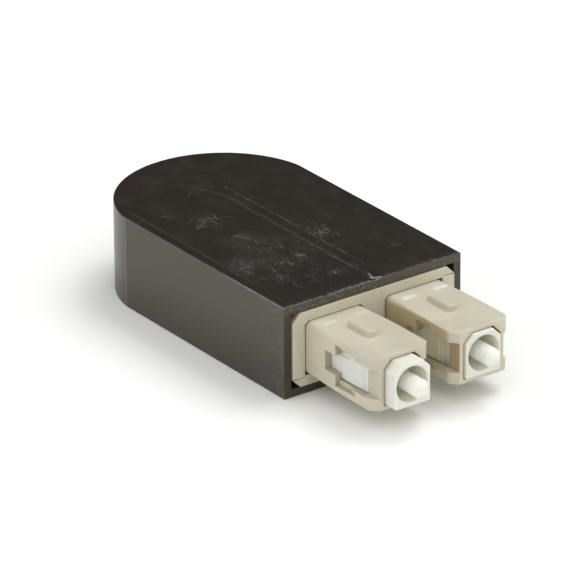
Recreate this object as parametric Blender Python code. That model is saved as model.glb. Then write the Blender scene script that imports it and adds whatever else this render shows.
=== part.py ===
"""Duplex fibre loopback plug.

Two push-pull fibre connector plugs (SC interface) are held side by side, 12.7 mm
apart, by a two-piece duplex clip in the mouth of a D-shaped moulded shell.  Inside,
each plug has its ferrule, flange, spring, guide tube, spring stop, crimp ring and
boot, and one buffered fibre runs from one plug round the back of the shell to the
other.

Axes: +Z up, the object rests on the flat bottom of the shell at Z = 0.  -Y is the
direction the plugs point and mate, +Y is towards the round back of the shell, and X
runs across the pair.  The origin is the middle of the bottom of the whole object's
bounding box.

All lengths below are millimetres, converted by MM when meshes are made.  In the
working coordinates Y = 0 is the front plane of the shell; the empty frame_root moves
everything so that the origin is where it is described above.
"""

import math

import bmesh
import bpy
from mathutils import Vector

MM = 0.001

# ---------------------------------------------------------------- driving dimensions
PITCH = 12.7                    # SC duplex pitch
AXIS_Z = 6.40                   # height of the two fibre axes above the bottom

# shell
SHELL_W = 28.2
SHELL_H = 12.8
SHELL_STRAIGHT = 34.9           # length of the straight sides
SHELL_SAGITTA = 12.2            # depth of the round end behind the straight sides
SHELL_WALL = 1.10
SHELL_FLOOR = 1.15
SHELL_EDGE = 0.30               # fillet of the long edges
SHELL_ARC_STEPS = 36

# duplex clip
CLIP_FRONT = -0.27
CLIP_BACK = 9.60
CLIP_W = 25.80                  # outer width, 0.1 clear of the shell mouth each side
CLIP_H = 10.30
CLIP_CHAMFER = 1.20
CLIP_WINDOW_W = 9.45
CLIP_WINDOW_H = 7.70
CLIP_WINDOW_CHAMFER = 0.45
CLIP_SEAM_Z = 3.95              # seam height of the side walls, from the axis
CLIP_SEAM_GAP = 0.06

# grip sleeve (SC outer housing)
SLEEVE_W = 9.0
SLEEVE_H = 7.4
SLEEVE_FRONT = -14.35
SLEEVE_BACK = 10.80
SLEEVE_CAVITY_W = 7.00
SLEEVE_CAVITY_H = 6.20
SLEEVE_MOUTH_LEFT = 2.80        # from the axis to the mouth's left and right sides
SLEEVE_MOUTH_RIGHT = 3.02
SLEEVE_MOUTH_CHAMFER = 1.00
SLEEVE_CORNER = 1.00            # vertical front corners
KEY_W = 1.65
KEY_H = 0.80
KEY_Y0 = -8.85
KEY_Y1 = -4.25
KEY_NOSE = 0.80

# plug frame (SC inner housing).  P = 0 is its front plane.
PLUG_FRONT_LEFT = -16.50        # left plug at rest: at the front of its float
FLOAT_TRAVEL = 1.70             # float of a plug frame in its sleeve
PLUG_FRONT_RIGHT = PLUG_FRONT_LEFT + FLOAT_TRAVEL
PLUG_NOSE_W = 5.50
PLUG_NOSE_H = 6.00
PLUG_NOSE_CHAMFER = 1.20
PLUG_NOSE_LEN = 4.38
PLUG_BODY_W = 6.50
PLUG_PAD_W = 6.84
PLUG_PAD_H = 3.94
PLUG_BODY_H = 5.95
PLUG_LEN = 19.0
PLUG_BORE_D = 4.90
PLUG_BORE_LEN = 5.1
PLUG_HOLE_D = 3.00
PLUG_CHAMBER_P = 5.90
PLUG_CHAMBER_D = 4.80

# ferrule assembly
FERRULE_D = 2.50
FERRULE_TIP = -2.40             # past the plug's front plane
FERRULE_LEN = 10.5
FERRULE_BORE_D = 0.60           # funnel in the rear face that takes the bare fibre
FLANGE_P0 = 6.15
FLANGE_P1 = 8.35
FLANGE_D = 4.20
TAIL_D = 2.70
TAIL_BORE_D = 1.95
TAIL_END = 12.4
FERRULE_TRAVEL = 1.20
TUBE_D = 1.75
TUBE_BORE = 1.15
TUBE_P0 = 8.35
TUBE_P1 = 13.4

# spring
SPRING_D = 4.25                 # outside
SPRING_WIRE = 0.42
SPRING_P0 = 8.45
SPRING_P1 = 15.95
SPRING_TURNS = 7.0

# spring stop, crimp ring, boot
STOP_P0 = 16.05
STOP_D = 4.60
STOP_FLANGE_P0 = 19.15
STOP_FLANGE_P1 = 20.35
STOP_FLANGE_D = 5.80
STOP_BARREL_D = 3.40
STOP_END = 25.0
STOP_BORE_D = 2.00
RING_P0 = 20.65
RING_P1 = 25.2
RING_OD = 4.20
RING_ID = 3.60
BOOT_P0 = 20.85
BOOT_P1 = 31.0
BOOT_OD = 5.40
BOOT_TAIL_OD = 2.60
BOOT_SOCKET_D = 4.40
BOOT_BORE_D = 1.50

# buffered fibre
FIBRE_D = 0.90
FIBRE_START = 3.6               # its two ends, in the shell's Y, inside the stops
LOOP_R = 11.2                   # radius of the loop round the back
LOOP_Y = 33.3                   # middle of that arc

# the whole object's length gives the origin
OBJECT_FRONT = PLUG_FRONT_LEFT + FERRULE_TIP
OBJECT_BACK = SHELL_STRAIGHT + SHELL_SAGITTA
ORIGIN_Y = 0.5 * (OBJECT_FRONT + OBJECT_BACK)

# ---------------------------------------------------------------- scene start
for _obj in list(bpy.data.objects):
    bpy.data.objects.remove(_obj, do_unlink=True)
for _mesh in list(bpy.data.meshes):
    bpy.data.meshes.remove(_mesh)
for _mat in list(bpy.data.materials):
    bpy.data.materials.remove(_mat)

COLLECTION = bpy.context.scene.collection


# ---------------------------------------------------------------- materials
def material(name, colour, roughness, metallic=0.0, transmission=0.0):
    mat = bpy.data.materials.new(name)
    mat.use_nodes = True
    shader = mat.node_tree.nodes["Principled BSDF"]
    shader.inputs["Base Color"].default_value = (*colour, 1.0)
    shader.inputs["Roughness"].default_value = roughness
    shader.inputs["Metallic"].default_value = metallic
    shader.inputs["Transmission Weight"].default_value = transmission
    mat.diffuse_color = (*colour, 1.0)
    return mat


SHELL_MAT = material("shell_dark_brown", (0.028, 0.020, 0.016), 0.45)
CLIP_MAT = material("clip_beige", (0.62, 0.60, 0.49), 0.50)
SLEEVE_MAT = material("sleeve_beige", (0.60, 0.58, 0.48), 0.48)
PLUG_MAT = material("plug_white", (0.83, 0.83, 0.80), 0.42)
CERAMIC_MAT = material("ferrule_ceramic", (0.88, 0.87, 0.84), 0.15)
NICKEL_MAT = material("flange_nickel", (0.72, 0.70, 0.66), 0.25, 1.0)
SPRING_MAT = material("spring_steel", (0.62, 0.62, 0.63), 0.28, 1.0)
TUBE_MAT = material("guide_tube_clear", (0.90, 0.90, 0.90), 0.20, 0.0, 0.6)
STOP_MAT = material("stop_nickel", (0.70, 0.68, 0.62), 0.30, 1.0)
RING_MAT = material("crimp_aluminium", (0.78, 0.78, 0.79), 0.35, 1.0)
BOOT_MAT = material("boot_beige", (0.58, 0.56, 0.47), 0.65)
FIBRE_MAT = material("fibre_buffer", (0.80, 0.36, 0.10), 0.55)


# ---------------------------------------------------------------- helpers
def empty(name, parent, y=0.0, x=0.0, z=0.0):
    """An unmodelled axis or frame; lengths in mm."""
    obj = bpy.data.objects.new(name, None)
    obj.empty_display_size = 0.005
    obj.parent = parent
    obj.location = (x * MM, y * MM, z * MM)
    COLLECTION.objects.link(obj)
    return obj


def add(name, bm, mat, parent, sharp=30.0, smooth=True):
    """Finish a bmesh drawn in mm as an object under parent."""
    bmesh.ops.remove_doubles(bm, verts=bm.verts, dist=1e-5)
    bmesh.ops.recalc_face_normals(bm, faces=bm.faces)
    if bm.calc_volume(signed=True) < 0:
        bmesh.ops.reverse_faces(bm, faces=bm.faces)
    bmesh.ops.scale(bm, vec=(MM, MM, MM), verts=bm.verts)
    mesh = bpy.data.meshes.new(name)
    bm.to_mesh(mesh)
    bm.free()
    obj = bpy.data.objects.new(name, mesh)
    COLLECTION.objects.link(obj)
    obj.parent = parent
    if mat is not None:
        mesh.materials.append(mat)
    if smooth:
        mesh.shade_smooth()
        mesh.set_sharp_from_angle(angle=math.radians(sharp))
    return obj


def cutter(name, bm, parent):
    obj = add(name, bm, None, parent, smooth=False)
    obj.display_type = "WIRE"
    obj.hide_render = True
    return obj


def cut(obj, tool, operation="DIFFERENCE"):
    mod = obj.modifiers.new(tool.name, "BOOLEAN")
    mod.operation = operation
    mod.solver = "EXACT"
    mod.object = tool
    return mod


def ring_loft(bm, rings, close=False):
    """Skin closed rings of the same point count; cap the ends unless close."""
    rows = [[bm.verts.new(p) for p in ring] for ring in rings]
    pairs = list(zip(rows, rows[1:]))
    if close:
        pairs.append((rows[-1], rows[0]))
    count = len(rows[0])
    for low, high in pairs:
        for i in range(count):
            j = (i + 1) % count
            bm.faces.new((low[i], low[j], high[j], high[i]))
    if not close:
        bm.faces.new(rows[0])
        bm.faces.new(list(reversed(rows[-1])))
    return rows


def rounded_rect(width, height, radius, steps=3, cx=0.0, cz=0.0):
    """Points (x, z) of a rectangle with round corners, starting lower right."""
    pts = []
    radius = max(radius, 1e-4)
    corners = [(1, -1, -90), (1, 1, 0), (-1, 1, 90), (-1, -1, 180)]
    for sx, sz, start in corners:
        mx = cx + sx * (width / 2 - radius)
        mz = cz + sz * (height / 2 - radius)
        for k in range(steps + 1):
            ang = math.radians(start + 90.0 * k / steps)
            pts.append((mx + radius * math.cos(ang), mz + radius * math.sin(ang)))
    return pts


def chamfered_rect(width, height, chamfer, cx=0.0, cz=0.0, lower=None):
    """Points (x, z) of a rectangle with its corners cut; lower sets the bottom two."""
    lower = chamfer if lower is None else lower
    w, h = width / 2, height / 2
    pts = [
        (w - lower, -h), (w, -h + lower), (w, h - chamfer), (w - chamfer, h),
        (-w + chamfer, h), (-w, h - chamfer), (-w, -h + lower), (-w + lower, -h),
    ]
    return [(cx + x, cz + z) for x, z in pts]


def box(bm, x0, x1, y0, y1, z0, z1):
    pts = [(x1, z0), (x1, z1), (x0, z1), (x0, z0)]
    ring_loft(bm, [[(x, y, z) for x, z in pts] for y in (y0, y1)])


def turned(profile, segments, cx=0.0, cz=0.0, phase=0.0):
    """A body turned about the Y axis from a closed loop of (radius, y) points.

    Points on the axis have radius 0 and close the ends of the body.
    """
    bm = bmesh.new()
    on_axis = [p for p in profile if p[0] < 1e-9]
    rings = []
    for r, y in profile:
        if r < 1e-9:
            rings.append([bm.verts.new((cx, y, cz))])
        else:
            rings.append([
                bm.verts.new((cx + r * math.cos(phase + 2 * math.pi * k / segments), y,
                              cz + r * math.sin(phase + 2 * math.pi * k / segments)))
                for k in range(segments)])
    pairs = list(zip(rings, rings[1:]))
    if not on_axis:
        pairs.append((rings[-1], rings[0]))
    for a, b in pairs:
        for k in range(segments):
            m = (k + 1) % segments
            if len(a) == 1 and len(b) == 1:
                continue
            if len(a) == 1:
                bm.faces.new((a[0], b[m], b[k]))
            elif len(b) == 1:
                bm.faces.new((a[k], a[m], b[0]))
            else:
                bm.faces.new((a[k], a[m], b[m], b[k]))
    return bm


# ---------------------------------------------------------------- shell
def shell_outline(inset, front, straight=SHELL_STRAIGHT, sagitta=SHELL_SAGITTA):
    """Plan outline (x, y): straight sides and a circular arc for the back."""
    half = SHELL_W / 2
    radius = (half ** 2 + sagitta ** 2) / (2 * sagitta)
    cy = straight + sagitta - radius
    r_in = radius - inset
    x_in = half - inset
    start = math.asin(x_in / r_in)
    pts = [(x_in, front)]
    for k in range(SHELL_ARC_STEPS + 1):
        ang = start - 2 * start * k / SHELL_ARC_STEPS
        pts.append((r_in * math.sin(ang), cy + r_in * math.cos(ang)))
    pts.append((-x_in, front))
    return pts


def make_shell(root):
    bm = bmesh.new()
    edge = SHELL_EDGE
    levels = [(edge, 0.0), (0.30 * edge, 0.30 * edge), (0.0, edge),
              (0.0, SHELL_H - edge), (0.30 * edge, SHELL_H - 0.30 * edge), (edge, SHELL_H)]
    rings = []
    for inset, z in levels:
        rings.append([(x, y, z) for x, y in shell_outline(inset, 0.0)])
    ring_loft(bm, rings)
    shell = add("housing_shell", bm, SHELL_MAT, root)
    bm = bmesh.new()
    rings = [[(x, y, z) for x, y in shell_outline(SHELL_WALL, -3.0)]
             for z in (SHELL_FLOOR, SHELL_H - SHELL_FLOOR)]
    ring_loft(bm, rings)
    hollow = cutter("cut_shell_hollow", bm, root)
    cut(shell, hollow)
    return shell


# ---------------------------------------------------------------- duplex clip
def make_clip(root):
    """Two mouldings, each a half-turn of the other about the Y axis of the pair."""
    for name, upper in (("clip_half_upper", True), ("clip_half_lower", False)):
        axis = empty(name + "_frame", root, z=AXIS_Z)
        if not upper:
            axis.rotation_euler = (0.0, math.pi, 0.0)
        w, h, c = CLIP_W / 2, CLIP_H / 2, CLIP_CHAMFER
        ww, wh, wc = CLIP_WINDOW_W / 2, CLIP_WINDOW_H / 2, CLIP_WINDOW_CHAMFER
        g = CLIP_SEAM_GAP / 2
        s = CLIP_SEAM_Z
        px = PITCH / 2
        # section of the upper half, anticlockwise from the top of the right side wall:
        # top wall, left wall down to the seam, upper half of the divider
        pts = [
            (w, s + g), (w, h - c), (w - c, h), (-w + c, h), (-w, h - c),
            (-w, -s + g), (-px - ww, -s + g), (-px - ww, wh - wc), (-px - ww + wc, wh),
            (-px + ww - wc, wh), (-px + ww, wh - wc),
            (-px + ww, g), (px - ww, g),
            (px - ww, wh - wc), (px - ww + wc, wh),
            (px + ww - 2 * g, wh), (px + ww - 2 * g, s + g),
        ]
        bm = bmesh.new()
        ring_loft(bm, [[(x, y, z) for x, z in pts] for y in (CLIP_FRONT, CLIP_BACK)])
        add(name, bm, CLIP_MAT, axis)


# ---------------------------------------------------------------- grip sleeve
def make_sleeve(name, root, cx):
    axis = empty(name + "_frame", root, x=cx, z=AXIS_Z)
    w, h = SLEEVE_W / 2, SLEEVE_H / 2
    front = SLEEVE_FRONT

    def section(y, radius, half):
        return [(x, y, z) for x, z in rounded_rect(2 * half, SLEEVE_H, radius, 3)]

    bm = bmesh.new()
    rings = [
        section(SLEEVE_BACK, 0.90, w),
        section(0.5, 0.90, w),
        section(-5.5, 0.35, w),
        section(front + 1.05, 0.25, w),
        [(x, front, z) for x, z in rounded_rect(2 * (w - SLEEVE_CORNER), SLEEVE_H - 0.3, 0.2, 3)],
    ]
    ring_loft(bm, rings)
    sleeve = add(name, bm, SLEEVE_MAT, axis)

    # key on top: square at the back, round nose in front
    bm = bmesh.new()
    kw = KEY_W / 2
    plan = [(kw, KEY_Y1), (-kw, KEY_Y1)]
    nose = KEY_NOSE
    for k in range(7):
        ang = math.radians(180 + 180 * k / 6)
        plan.append((kw * math.cos(ang), KEY_Y0 + nose + nose * math.sin(ang)))
    ring_loft(bm, [[(x, y, z) for x, y in plan] for z in (h - 0.4, h + KEY_H)])
    cut(sleeve, cutter(name + "_key_tool", bm, axis), "UNION")

    # cavity for the plug frame, with the smaller mouth in the front wall
    bm = bmesh.new()
    cav = chamfered_rect(SLEEVE_CAVITY_W, SLEEVE_CAVITY_H, 0.25)
    ml, mr, mh, mc = SLEEVE_MOUTH_LEFT, SLEEVE_MOUTH_RIGHT, SLEEVE_CAVITY_H / 2, SLEEVE_MOUTH_CHAMFER
    mouth = [(mr - 0.1, -mh), (mr, -mh + 0.1), (mr, mh - mc), (mr - mc, mh),
             (-ml + mc, mh), (-ml, mh - mc), (-ml, -mh + 0.1), (-ml + 0.1, -mh)]
    back = SLEEVE_BACK + 1.0
    ring_loft(bm, [
        [(x, front - 1.0, z) for x, z in mouth],
        [(x, front + 2.13, z) for x, z in mouth],
        [(x, front + 2.15, z) for x, z in cav],
        [(x, back, z) for x, z in cav],
    ])
    cut(sleeve, cutter(name + "_cavity_tool", bm, axis))

    # side windows: a low rear stage and a taller front stage, right through both walls
    for side in (-1, 1):
        tag = "_l" if side < 0 else "_r"
        x0, x1 = sorted((side * (w - 1.6), side * (w + 1.0)))
        bm = bmesh.new()
        box(bm, x0, x1, -6.40, -4.20, -1.33, 1.33)
        cut(sleeve, cutter(name + "_window_rear" + tag, bm, axis))
        bm = bmesh.new()
        box(bm, x0, x1, -12.20, -6.35, -2.20, 2.20)
        cut(sleeve, cutter(name + "_window_front" + tag, bm, axis))
        # shallow channel round the front stage, and the set-back front post
        a0, a1 = sorted((side * (w - 0.70), side * (w + 1.0)))
        bm = bmesh.new()
        box(bm, a0, a1, -9.70, -6.35, -2.80, 2.80)
        cut(sleeve, cutter(name + "_channel" + tag, bm, axis))
        a0, a1 = sorted((side * (w - 1.0), side * (w + 1.0)))
        bm = bmesh.new()
        box(bm, a0, a1, front - 1.0, -12.15, -1.86, 1.86)
        cut(sleeve, cutter(name + "_post" + tag, bm, axis))
    return sleeve


# ---------------------------------------------------------------- plug parts
def make_plug(side, root, cx, front):
    """Everything that floats with one plug frame.  P runs along +Y from its front."""
    axis = empty("plug_%s_axis" % side, root, x=cx, y=front, z=AXIS_Z)

    # frame: chamfered nose, body with a raised pad on each side
    def nose(p, shrink=0.0):
        pts = chamfered_rect(PLUG_NOSE_W - shrink, PLUG_NOSE_H - shrink,
                             PLUG_NOSE_CHAMFER, lower=0.12)
        # same count as the body section
        out = []
        for i, (x, z) in enumerate(pts):
            out.append((x, z))
            nx, nz = pts[(i + 1) % len(pts)]
            if i in (1, 5):
                for f in (0.2, 0.21, 0.79, 0.80):
                    out.append((x + (nx - x) * f, z + (nz - z) * f))
        return [(x, p, z) for x, z in out]

    def body(p, pad, chamfer=0.30):
        w, h = PLUG_BODY_W / 2, PLUG_BODY_H / 2
        c, q = chamfer, PLUG_PAD_H / 2
        pw = PLUG_PAD_W / 2 if pad else w
        pts = [
            (w - c, -h), (w, -h + c), (w, -q - 0.01), (pw, -q), (pw, q), (w, q + 0.01),
            (w, h - c), (w - c, h),
            (-w + c, h), (-w, h - c), (-w, q + 0.01), (-pw, q), (-pw, -q), (-w, -q - 0.01),
            (-w, -h + c), (-w + c, -h),
        ]
        return [(x, p, z) for x, z in pts]

    bm = bmesh.new()
    ring_loft(bm, [
        nose(0.0, 0.30), nose(0.35), nose(PLUG_NOSE_LEN),
        body(PLUG_NOSE_LEN + 0.10, False), body(PLUG_NOSE_LEN + 0.15, False),
        body(PLUG_NOSE_LEN + 0.80, True), body(12.3, True), body(12.35, False),
        body(PLUG_LEN, False),
    ])
    frame = add("plug_frame_%s" % side, bm, PLUG_MAT, axis)
    rb, rh, rc = PLUG_BORE_D / 2, PLUG_HOLE_D / 2, PLUG_CHAMBER_D / 2
    bore = turned([(0, -1.0), (rb, -1.0), (rb, PLUG_BORE_LEN), (rh, PLUG_BORE_LEN),
                   (rh, PLUG_CHAMBER_P), (rc, PLUG_CHAMBER_P), (rc, PLUG_LEN + 1.0),
                   (0, PLUG_LEN + 1.0)], 28)
    cut(frame, cutter("plug_frame_%s_bore" % side, bore, axis))

    # spring stop: body inside the frame, flange behind it, barrel for the crimp
    rs, rf, rb, ri = STOP_D / 2, STOP_FLANGE_D / 2, STOP_BARREL_D / 2, STOP_BORE_D / 2
    c = 0.2
    bm = turned([
        (ri, STOP_P0), (rs - c, STOP_P0), (rs, STOP_P0 + c), (rs, STOP_FLANGE_P0),
        (rf - c, STOP_FLANGE_P0), (rf, STOP_FLANGE_P0 + c), (rf, STOP_FLANGE_P1 - c),
        (rf - c, STOP_FLANGE_P1), (rb, STOP_FLANGE_P1), (rb, STOP_END - c),
        (rb - c, STOP_END), (ri, STOP_END)], 24)
    add("spring_stop_%s" % side, bm, STOP_MAT, axis)

    # crimp ring: a plain sleeve with its waist pinched in
    ro, rn = RING_OD / 2, RING_ID / 2
    bm = turned([
        (rn, RING_P0), (ro - 0.08, RING_P0), (ro, RING_P0 + 0.15), (ro, RING_P0 + 1.2),
        (ro - 0.06, RING_P0 + 1.5), (ro - 0.06, RING_P1 - 1.0), (ro, RING_P1 - 0.7),
        (ro, RING_P1 - 0.15), (ro - 0.08, RING_P1), (rn, RING_P1)], 24)
    add("crimp_ring_%s" % side, bm, RING_MAT, axis)

    # boot: socket over the crimp ring, tapering to the fibre
    rk, rt = BOOT_SOCKET_D / 2, BOOT_BORE_D / 2
    bo, bt = BOOT_OD / 2, BOOT_TAIL_OD / 2
    bm = turned([
        (rk, BOOT_P0), (bo - 0.2, BOOT_P0), (bo, BOOT_P0 + 0.2), (bo, BOOT_P0 + 4.4),
        (bo - 0.5, BOOT_P0 + 5.2), (bt, BOOT_P1 - 0.2), (bt - 0.15, BOOT_P1),
        (rt, BOOT_P1), (rt, RING_P1 + 0.6), (rk, RING_P1 + 0.2)], 24)
    add("strain_boot_%s" % side, bm, BOOT_MAT, axis)

    # spring
    bm = bmesh.new()
    mean, wire = (SPRING_D - SPRING_WIRE) / 2, SPRING_WIRE / 2
    steps = int(SPRING_TURNS * 18)
    y0, y1 = SPRING_P0 + wire, SPRING_P1 - wire
    rings = []
    for i in range(steps + 1):
        t = i / steps
        turn = SPRING_TURNS * t
        # the end turns lie closer, as ground and closed ends do
        ease = 0.5 - 0.5 * math.cos(math.pi * t)
        y = y0 + (y1 - y0) * (0.55 * t + 0.45 * ease)
        ang = 2 * math.pi * turn
        radial = Vector((math.cos(ang), 0.0, math.sin(ang)))
        centre = radial * mean + Vector((0.0, y, 0.0))
        rings.append([tuple(centre + radial * (wire * math.cos(a)) + Vector((0.0, wire * math.sin(a), 0.0)))
                      for a in (2 * math.pi * k / 6 for k in range(6))])
    ring_loft(bm, rings)
    add("ferrule_spring_%s" % side, bm, SPRING_MAT, axis, sharp=60)

    # ferrule group, sliding back in the frame against the spring
    slide = empty("ferrule_%s_axis" % side, axis)
    r, b = FERRULE_D / 2, FERRULE_BORE_D / 2
    t = FERRULE_TIP
    bm = turned([
        (0.0, t), (0.55, t + 0.015), (0.72, t + 0.05), (r, t + 0.62), (r, t + FERRULE_LEN - 0.3),
        (r - 0.25, t + FERRULE_LEN), (b, t + FERRULE_LEN), (b, t + FERRULE_LEN - 1.2),
        (0.0, t + FERRULE_LEN - 1.6)], 32)
    add("ferrule_%s" % side, bm, CERAMIC_MAT, slide)
    rf, rt, ri = FLANGE_D / 2, TAIL_D / 2, TAIL_BORE_D / 2
    rp = r + 0.05
    bm = turned([
        (rp, FLANGE_P0), (rf - 0.15, FLANGE_P0), (rf, FLANGE_P0 + 0.15), (rf, FLANGE_P1 - 0.1),
        (rf - 0.1, FLANGE_P1), (rt, FLANGE_P1), (rt, TAIL_END - 0.15), (rt - 0.15, TAIL_END),
        (ri, TAIL_END), (ri, t + FERRULE_LEN + 0.10), (rp, t + FERRULE_LEN + 0.10)], 24)
    add("ferrule_flange_%s" % side, bm, NICKEL_MAT, slide)
    ro, rn = TUBE_D / 2, TUBE_BORE / 2
    bm = turned([(rn, TUBE_P0), (ro, TUBE_P0), (ro, TUBE_P1), (rn, TUBE_P1)], 16)
    add("guide_tube_%s" % side, bm, TUBE_MAT, slide)
    return axis


# ---------------------------------------------------------------- fibre
def make_fibre(root):
    """One buffered fibre from the left stop round the back to the right stop."""
    half = PITCH / 2
    steps_arc = 26
    route = []
    straight_end = PLUG_FRONT_LEFT + FLOAT_TRAVEL + BOOT_P1 + 1.2
    for k in range(5):
        route.append((-half, FIBRE_START + (straight_end - FIBRE_START) * k / 4))
    # a smooth swing out to the loop, then the arc round the back
    x0, y0 = -half, straight_end
    x1, y1 = -LOOP_R, LOOP_Y
    for k in range(1, 12):
        t = k / 12
        s = t * t * (3 - 2 * t)
        route.append((x0 + (x1 - x0) * s, y0 + (y1 - y0) * t))
    for k in range(steps_arc + 1):
        ang = math.pi * k / steps_arc
        route.append((-LOOP_R * math.cos(ang), LOOP_Y + LOOP_R * math.sin(ang)))
    for k in range(11, 0, -1):
        t = k / 12
        s = t * t * (3 - 2 * t)
        route.append((-(x0 + (x1 - x0) * s), y0 + (y1 - y0) * t))
    for k in range(4, -1, -1):
        route.append((half, FIBRE_START + (straight_end - FIBRE_START) * k / 4))
    bm = bmesh.new()
    rings = []
    for i, (x, y) in enumerate(route):
        ax, ay = route[max(i - 1, 0)]
        bx, by = route[min(i + 1, len(route) - 1)]
        tangent = Vector((bx - ax, by - ay, 0.0)).normalized()
        side = Vector((tangent.y, -tangent.x, 0.0))
        centre = Vector((x, y, AXIS_Z))
        rings.append([tuple(centre + side * (FIBRE_D / 2 * math.cos(a)) +
                            Vector((0, 0, FIBRE_D / 2 * math.sin(a))))
                      for a in (2 * math.pi * k / 10 for k in range(10))])
    ring_loft(bm, rings)
    add("fibre_loop", bm, FIBRE_MAT, root, sharp=50)


# ---------------------------------------------------------------- assembly
frame_root = empty("frame_root", None, y=-ORIGIN_Y)
make_shell(frame_root)
make_clip(frame_root)
make_sleeve("grip_sleeve_left", frame_root, -PITCH / 2)
make_sleeve("grip_sleeve_right", frame_root, PITCH / 2)
make_plug("left", frame_root, -PITCH / 2, PLUG_FRONT_LEFT)
make_plug("right", frame_root, PITCH / 2, PLUG_FRONT_RIGHT)
make_fibre(frame_root)
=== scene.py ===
"""Looks for the duplex fibre loopback plug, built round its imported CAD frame."""

import math

import bmesh
import bpy
from mathutils import Matrix, Vector, noise


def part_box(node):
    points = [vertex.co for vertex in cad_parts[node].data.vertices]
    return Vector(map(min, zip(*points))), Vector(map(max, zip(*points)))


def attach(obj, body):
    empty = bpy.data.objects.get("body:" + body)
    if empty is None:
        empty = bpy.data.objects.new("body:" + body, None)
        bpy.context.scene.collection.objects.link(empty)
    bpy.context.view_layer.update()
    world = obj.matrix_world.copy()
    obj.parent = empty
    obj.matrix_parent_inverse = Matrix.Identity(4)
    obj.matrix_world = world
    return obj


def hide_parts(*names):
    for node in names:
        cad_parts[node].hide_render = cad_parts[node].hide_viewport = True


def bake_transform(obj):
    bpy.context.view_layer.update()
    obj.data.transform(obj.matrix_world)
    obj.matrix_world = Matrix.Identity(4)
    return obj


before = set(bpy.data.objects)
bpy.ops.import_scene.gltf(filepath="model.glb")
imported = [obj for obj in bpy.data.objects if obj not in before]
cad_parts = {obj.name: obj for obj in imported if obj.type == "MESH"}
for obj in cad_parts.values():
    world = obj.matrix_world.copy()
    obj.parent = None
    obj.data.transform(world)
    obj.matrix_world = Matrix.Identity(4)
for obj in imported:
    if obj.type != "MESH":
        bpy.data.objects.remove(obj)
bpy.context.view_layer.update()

# ------------------------------------------------------------------ frame in mm
# Working coordinates: millimetres, Y = 0 at the front plane of the shell, Z = 0 at its
# bottom, X = 0 in the middle.  Everything is converted to the row frame when made.
SHELL_LO, SHELL_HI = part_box("housing_shell")
FRONT_Y = SHELL_LO.y                       # row-frame Y of the shell's front plane
PLUG_LO = {s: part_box("plug_frame_" + s)[0] for s in ("left", "right")}
PLUG_HI = {s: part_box("plug_frame_" + s)[1] for s in ("left", "right")}
AXIS_X = {s: (PLUG_LO[s].x + PLUG_HI[s].x) * 500.0 for s in ("left", "right")}
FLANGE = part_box("ferrule_flange_left")
AXIS_Z = (FLANGE[0].z + FLANGE[1].z) * 500.0
PLUG_FRONT = {s: (PLUG_LO[s].y - FRONT_Y) * 1000.0 for s in ("left", "right")}
SHELL_W = (SHELL_HI.x - SHELL_LO.x) * 1000.0
SHELL_H = SHELL_HI.z * 1000.0
SHELL_L = (SHELL_HI.y - SHELL_LO.y) * 1000.0
SAGITTA = 12.2
STRAIGHT = SHELL_L - SAGITTA

TO_ROW = Matrix.Translation((0.0, FRONT_Y, 0.0)) @ Matrix.Scale(0.001, 4)

scene = bpy.context.scene
COLL = scene.collection


# ------------------------------------------------------------------ mesh helpers
def orient(bm):
    bmesh.ops.recalc_face_normals(bm, faces=bm.faces)
    if bm.calc_volume(signed=True) < 0:
        bmesh.ops.reverse_faces(bm, faces=bm.faces)
    return bm


def loft(rings, close=False, bm=None):
    bm = bm or bmesh.new()
    rows = [[bm.verts.new(p) for p in ring] for ring in rings]
    pairs = list(zip(rows, rows[1:]))
    if close:
        pairs.append((rows[-1], rows[0]))
    n = len(rows[0])
    for a, b in pairs:
        for i in range(n):
            j = (i + 1) % n
            bm.faces.new((a[i], a[j], b[j], b[i]))
    if not close:
        bm.faces.new(rows[0])
        bm.faces.new(list(reversed(rows[-1])))
    return orient(bm)


def prism_y(pts, y0, y1, dx=0.0, dz=0.0):
    """Polygon (x, z) drawn out along Y."""
    return loft([[(x + dx, y, z + dz) for x, z in pts] for y in (y0, y1)])


def prism_z(pts, z0, z1, dx=0.0, dy=0.0):
    return loft([[(x + dx, y + dy, z) for x, y in pts] for z in (z0, z1)])


def prism_x(pts, x0, x1, dy=0.0, dz=0.0):
    return loft([[(x, y + dy, z + dz) for y, z in pts] for x in (x0, x1)])


def turned(profile, seg, cx=0.0, cz=0.0):
    """(radius, y) loop turned about the Y axis; radius 0 closes an end."""
    bm = bmesh.new()
    axial = any(r < 1e-9 for r, _ in profile)
    rings = []
    for r, y in profile:
        if r < 1e-9:
            rings.append([bm.verts.new((cx, y, cz))])
        else:
            rings.append([bm.verts.new((cx + r * math.cos(2 * math.pi * k / seg), y,
                                        cz + r * math.sin(2 * math.pi * k / seg)))
                          for k in range(seg)])
    pairs = list(zip(rings, rings[1:]))
    if not axial:
        pairs.append((rings[-1], rings[0]))
    for a, b in pairs:
        for k in range(seg):
            m = (k + 1) % seg
            if len(a) == 1 and len(b) == 1:
                continue
            if len(a) == 1:
                bm.faces.new((a[0], b[m], b[k]))
            elif len(b) == 1:
                bm.faces.new((a[k], a[m], b[0]))
            else:
                bm.faces.new((a[k], a[m], b[m], b[k]))
    return orient(bm)


def rounded(w, h, r, steps=6, cx=0.0, cz=0.0):
    pts = []
    for sx, sz, start in ((1, -1, -90), (1, 1, 0), (-1, 1, 90), (-1, -1, 180)):
        mx, mz = cx + sx * (w / 2 - r), cz + sz * (h / 2 - r)
        for k in range(steps + 1):
            a = math.radians(start + 90.0 * k / steps)
            pts.append((mx + r * math.cos(a), mz + r * math.sin(a)))
    return pts


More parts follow.
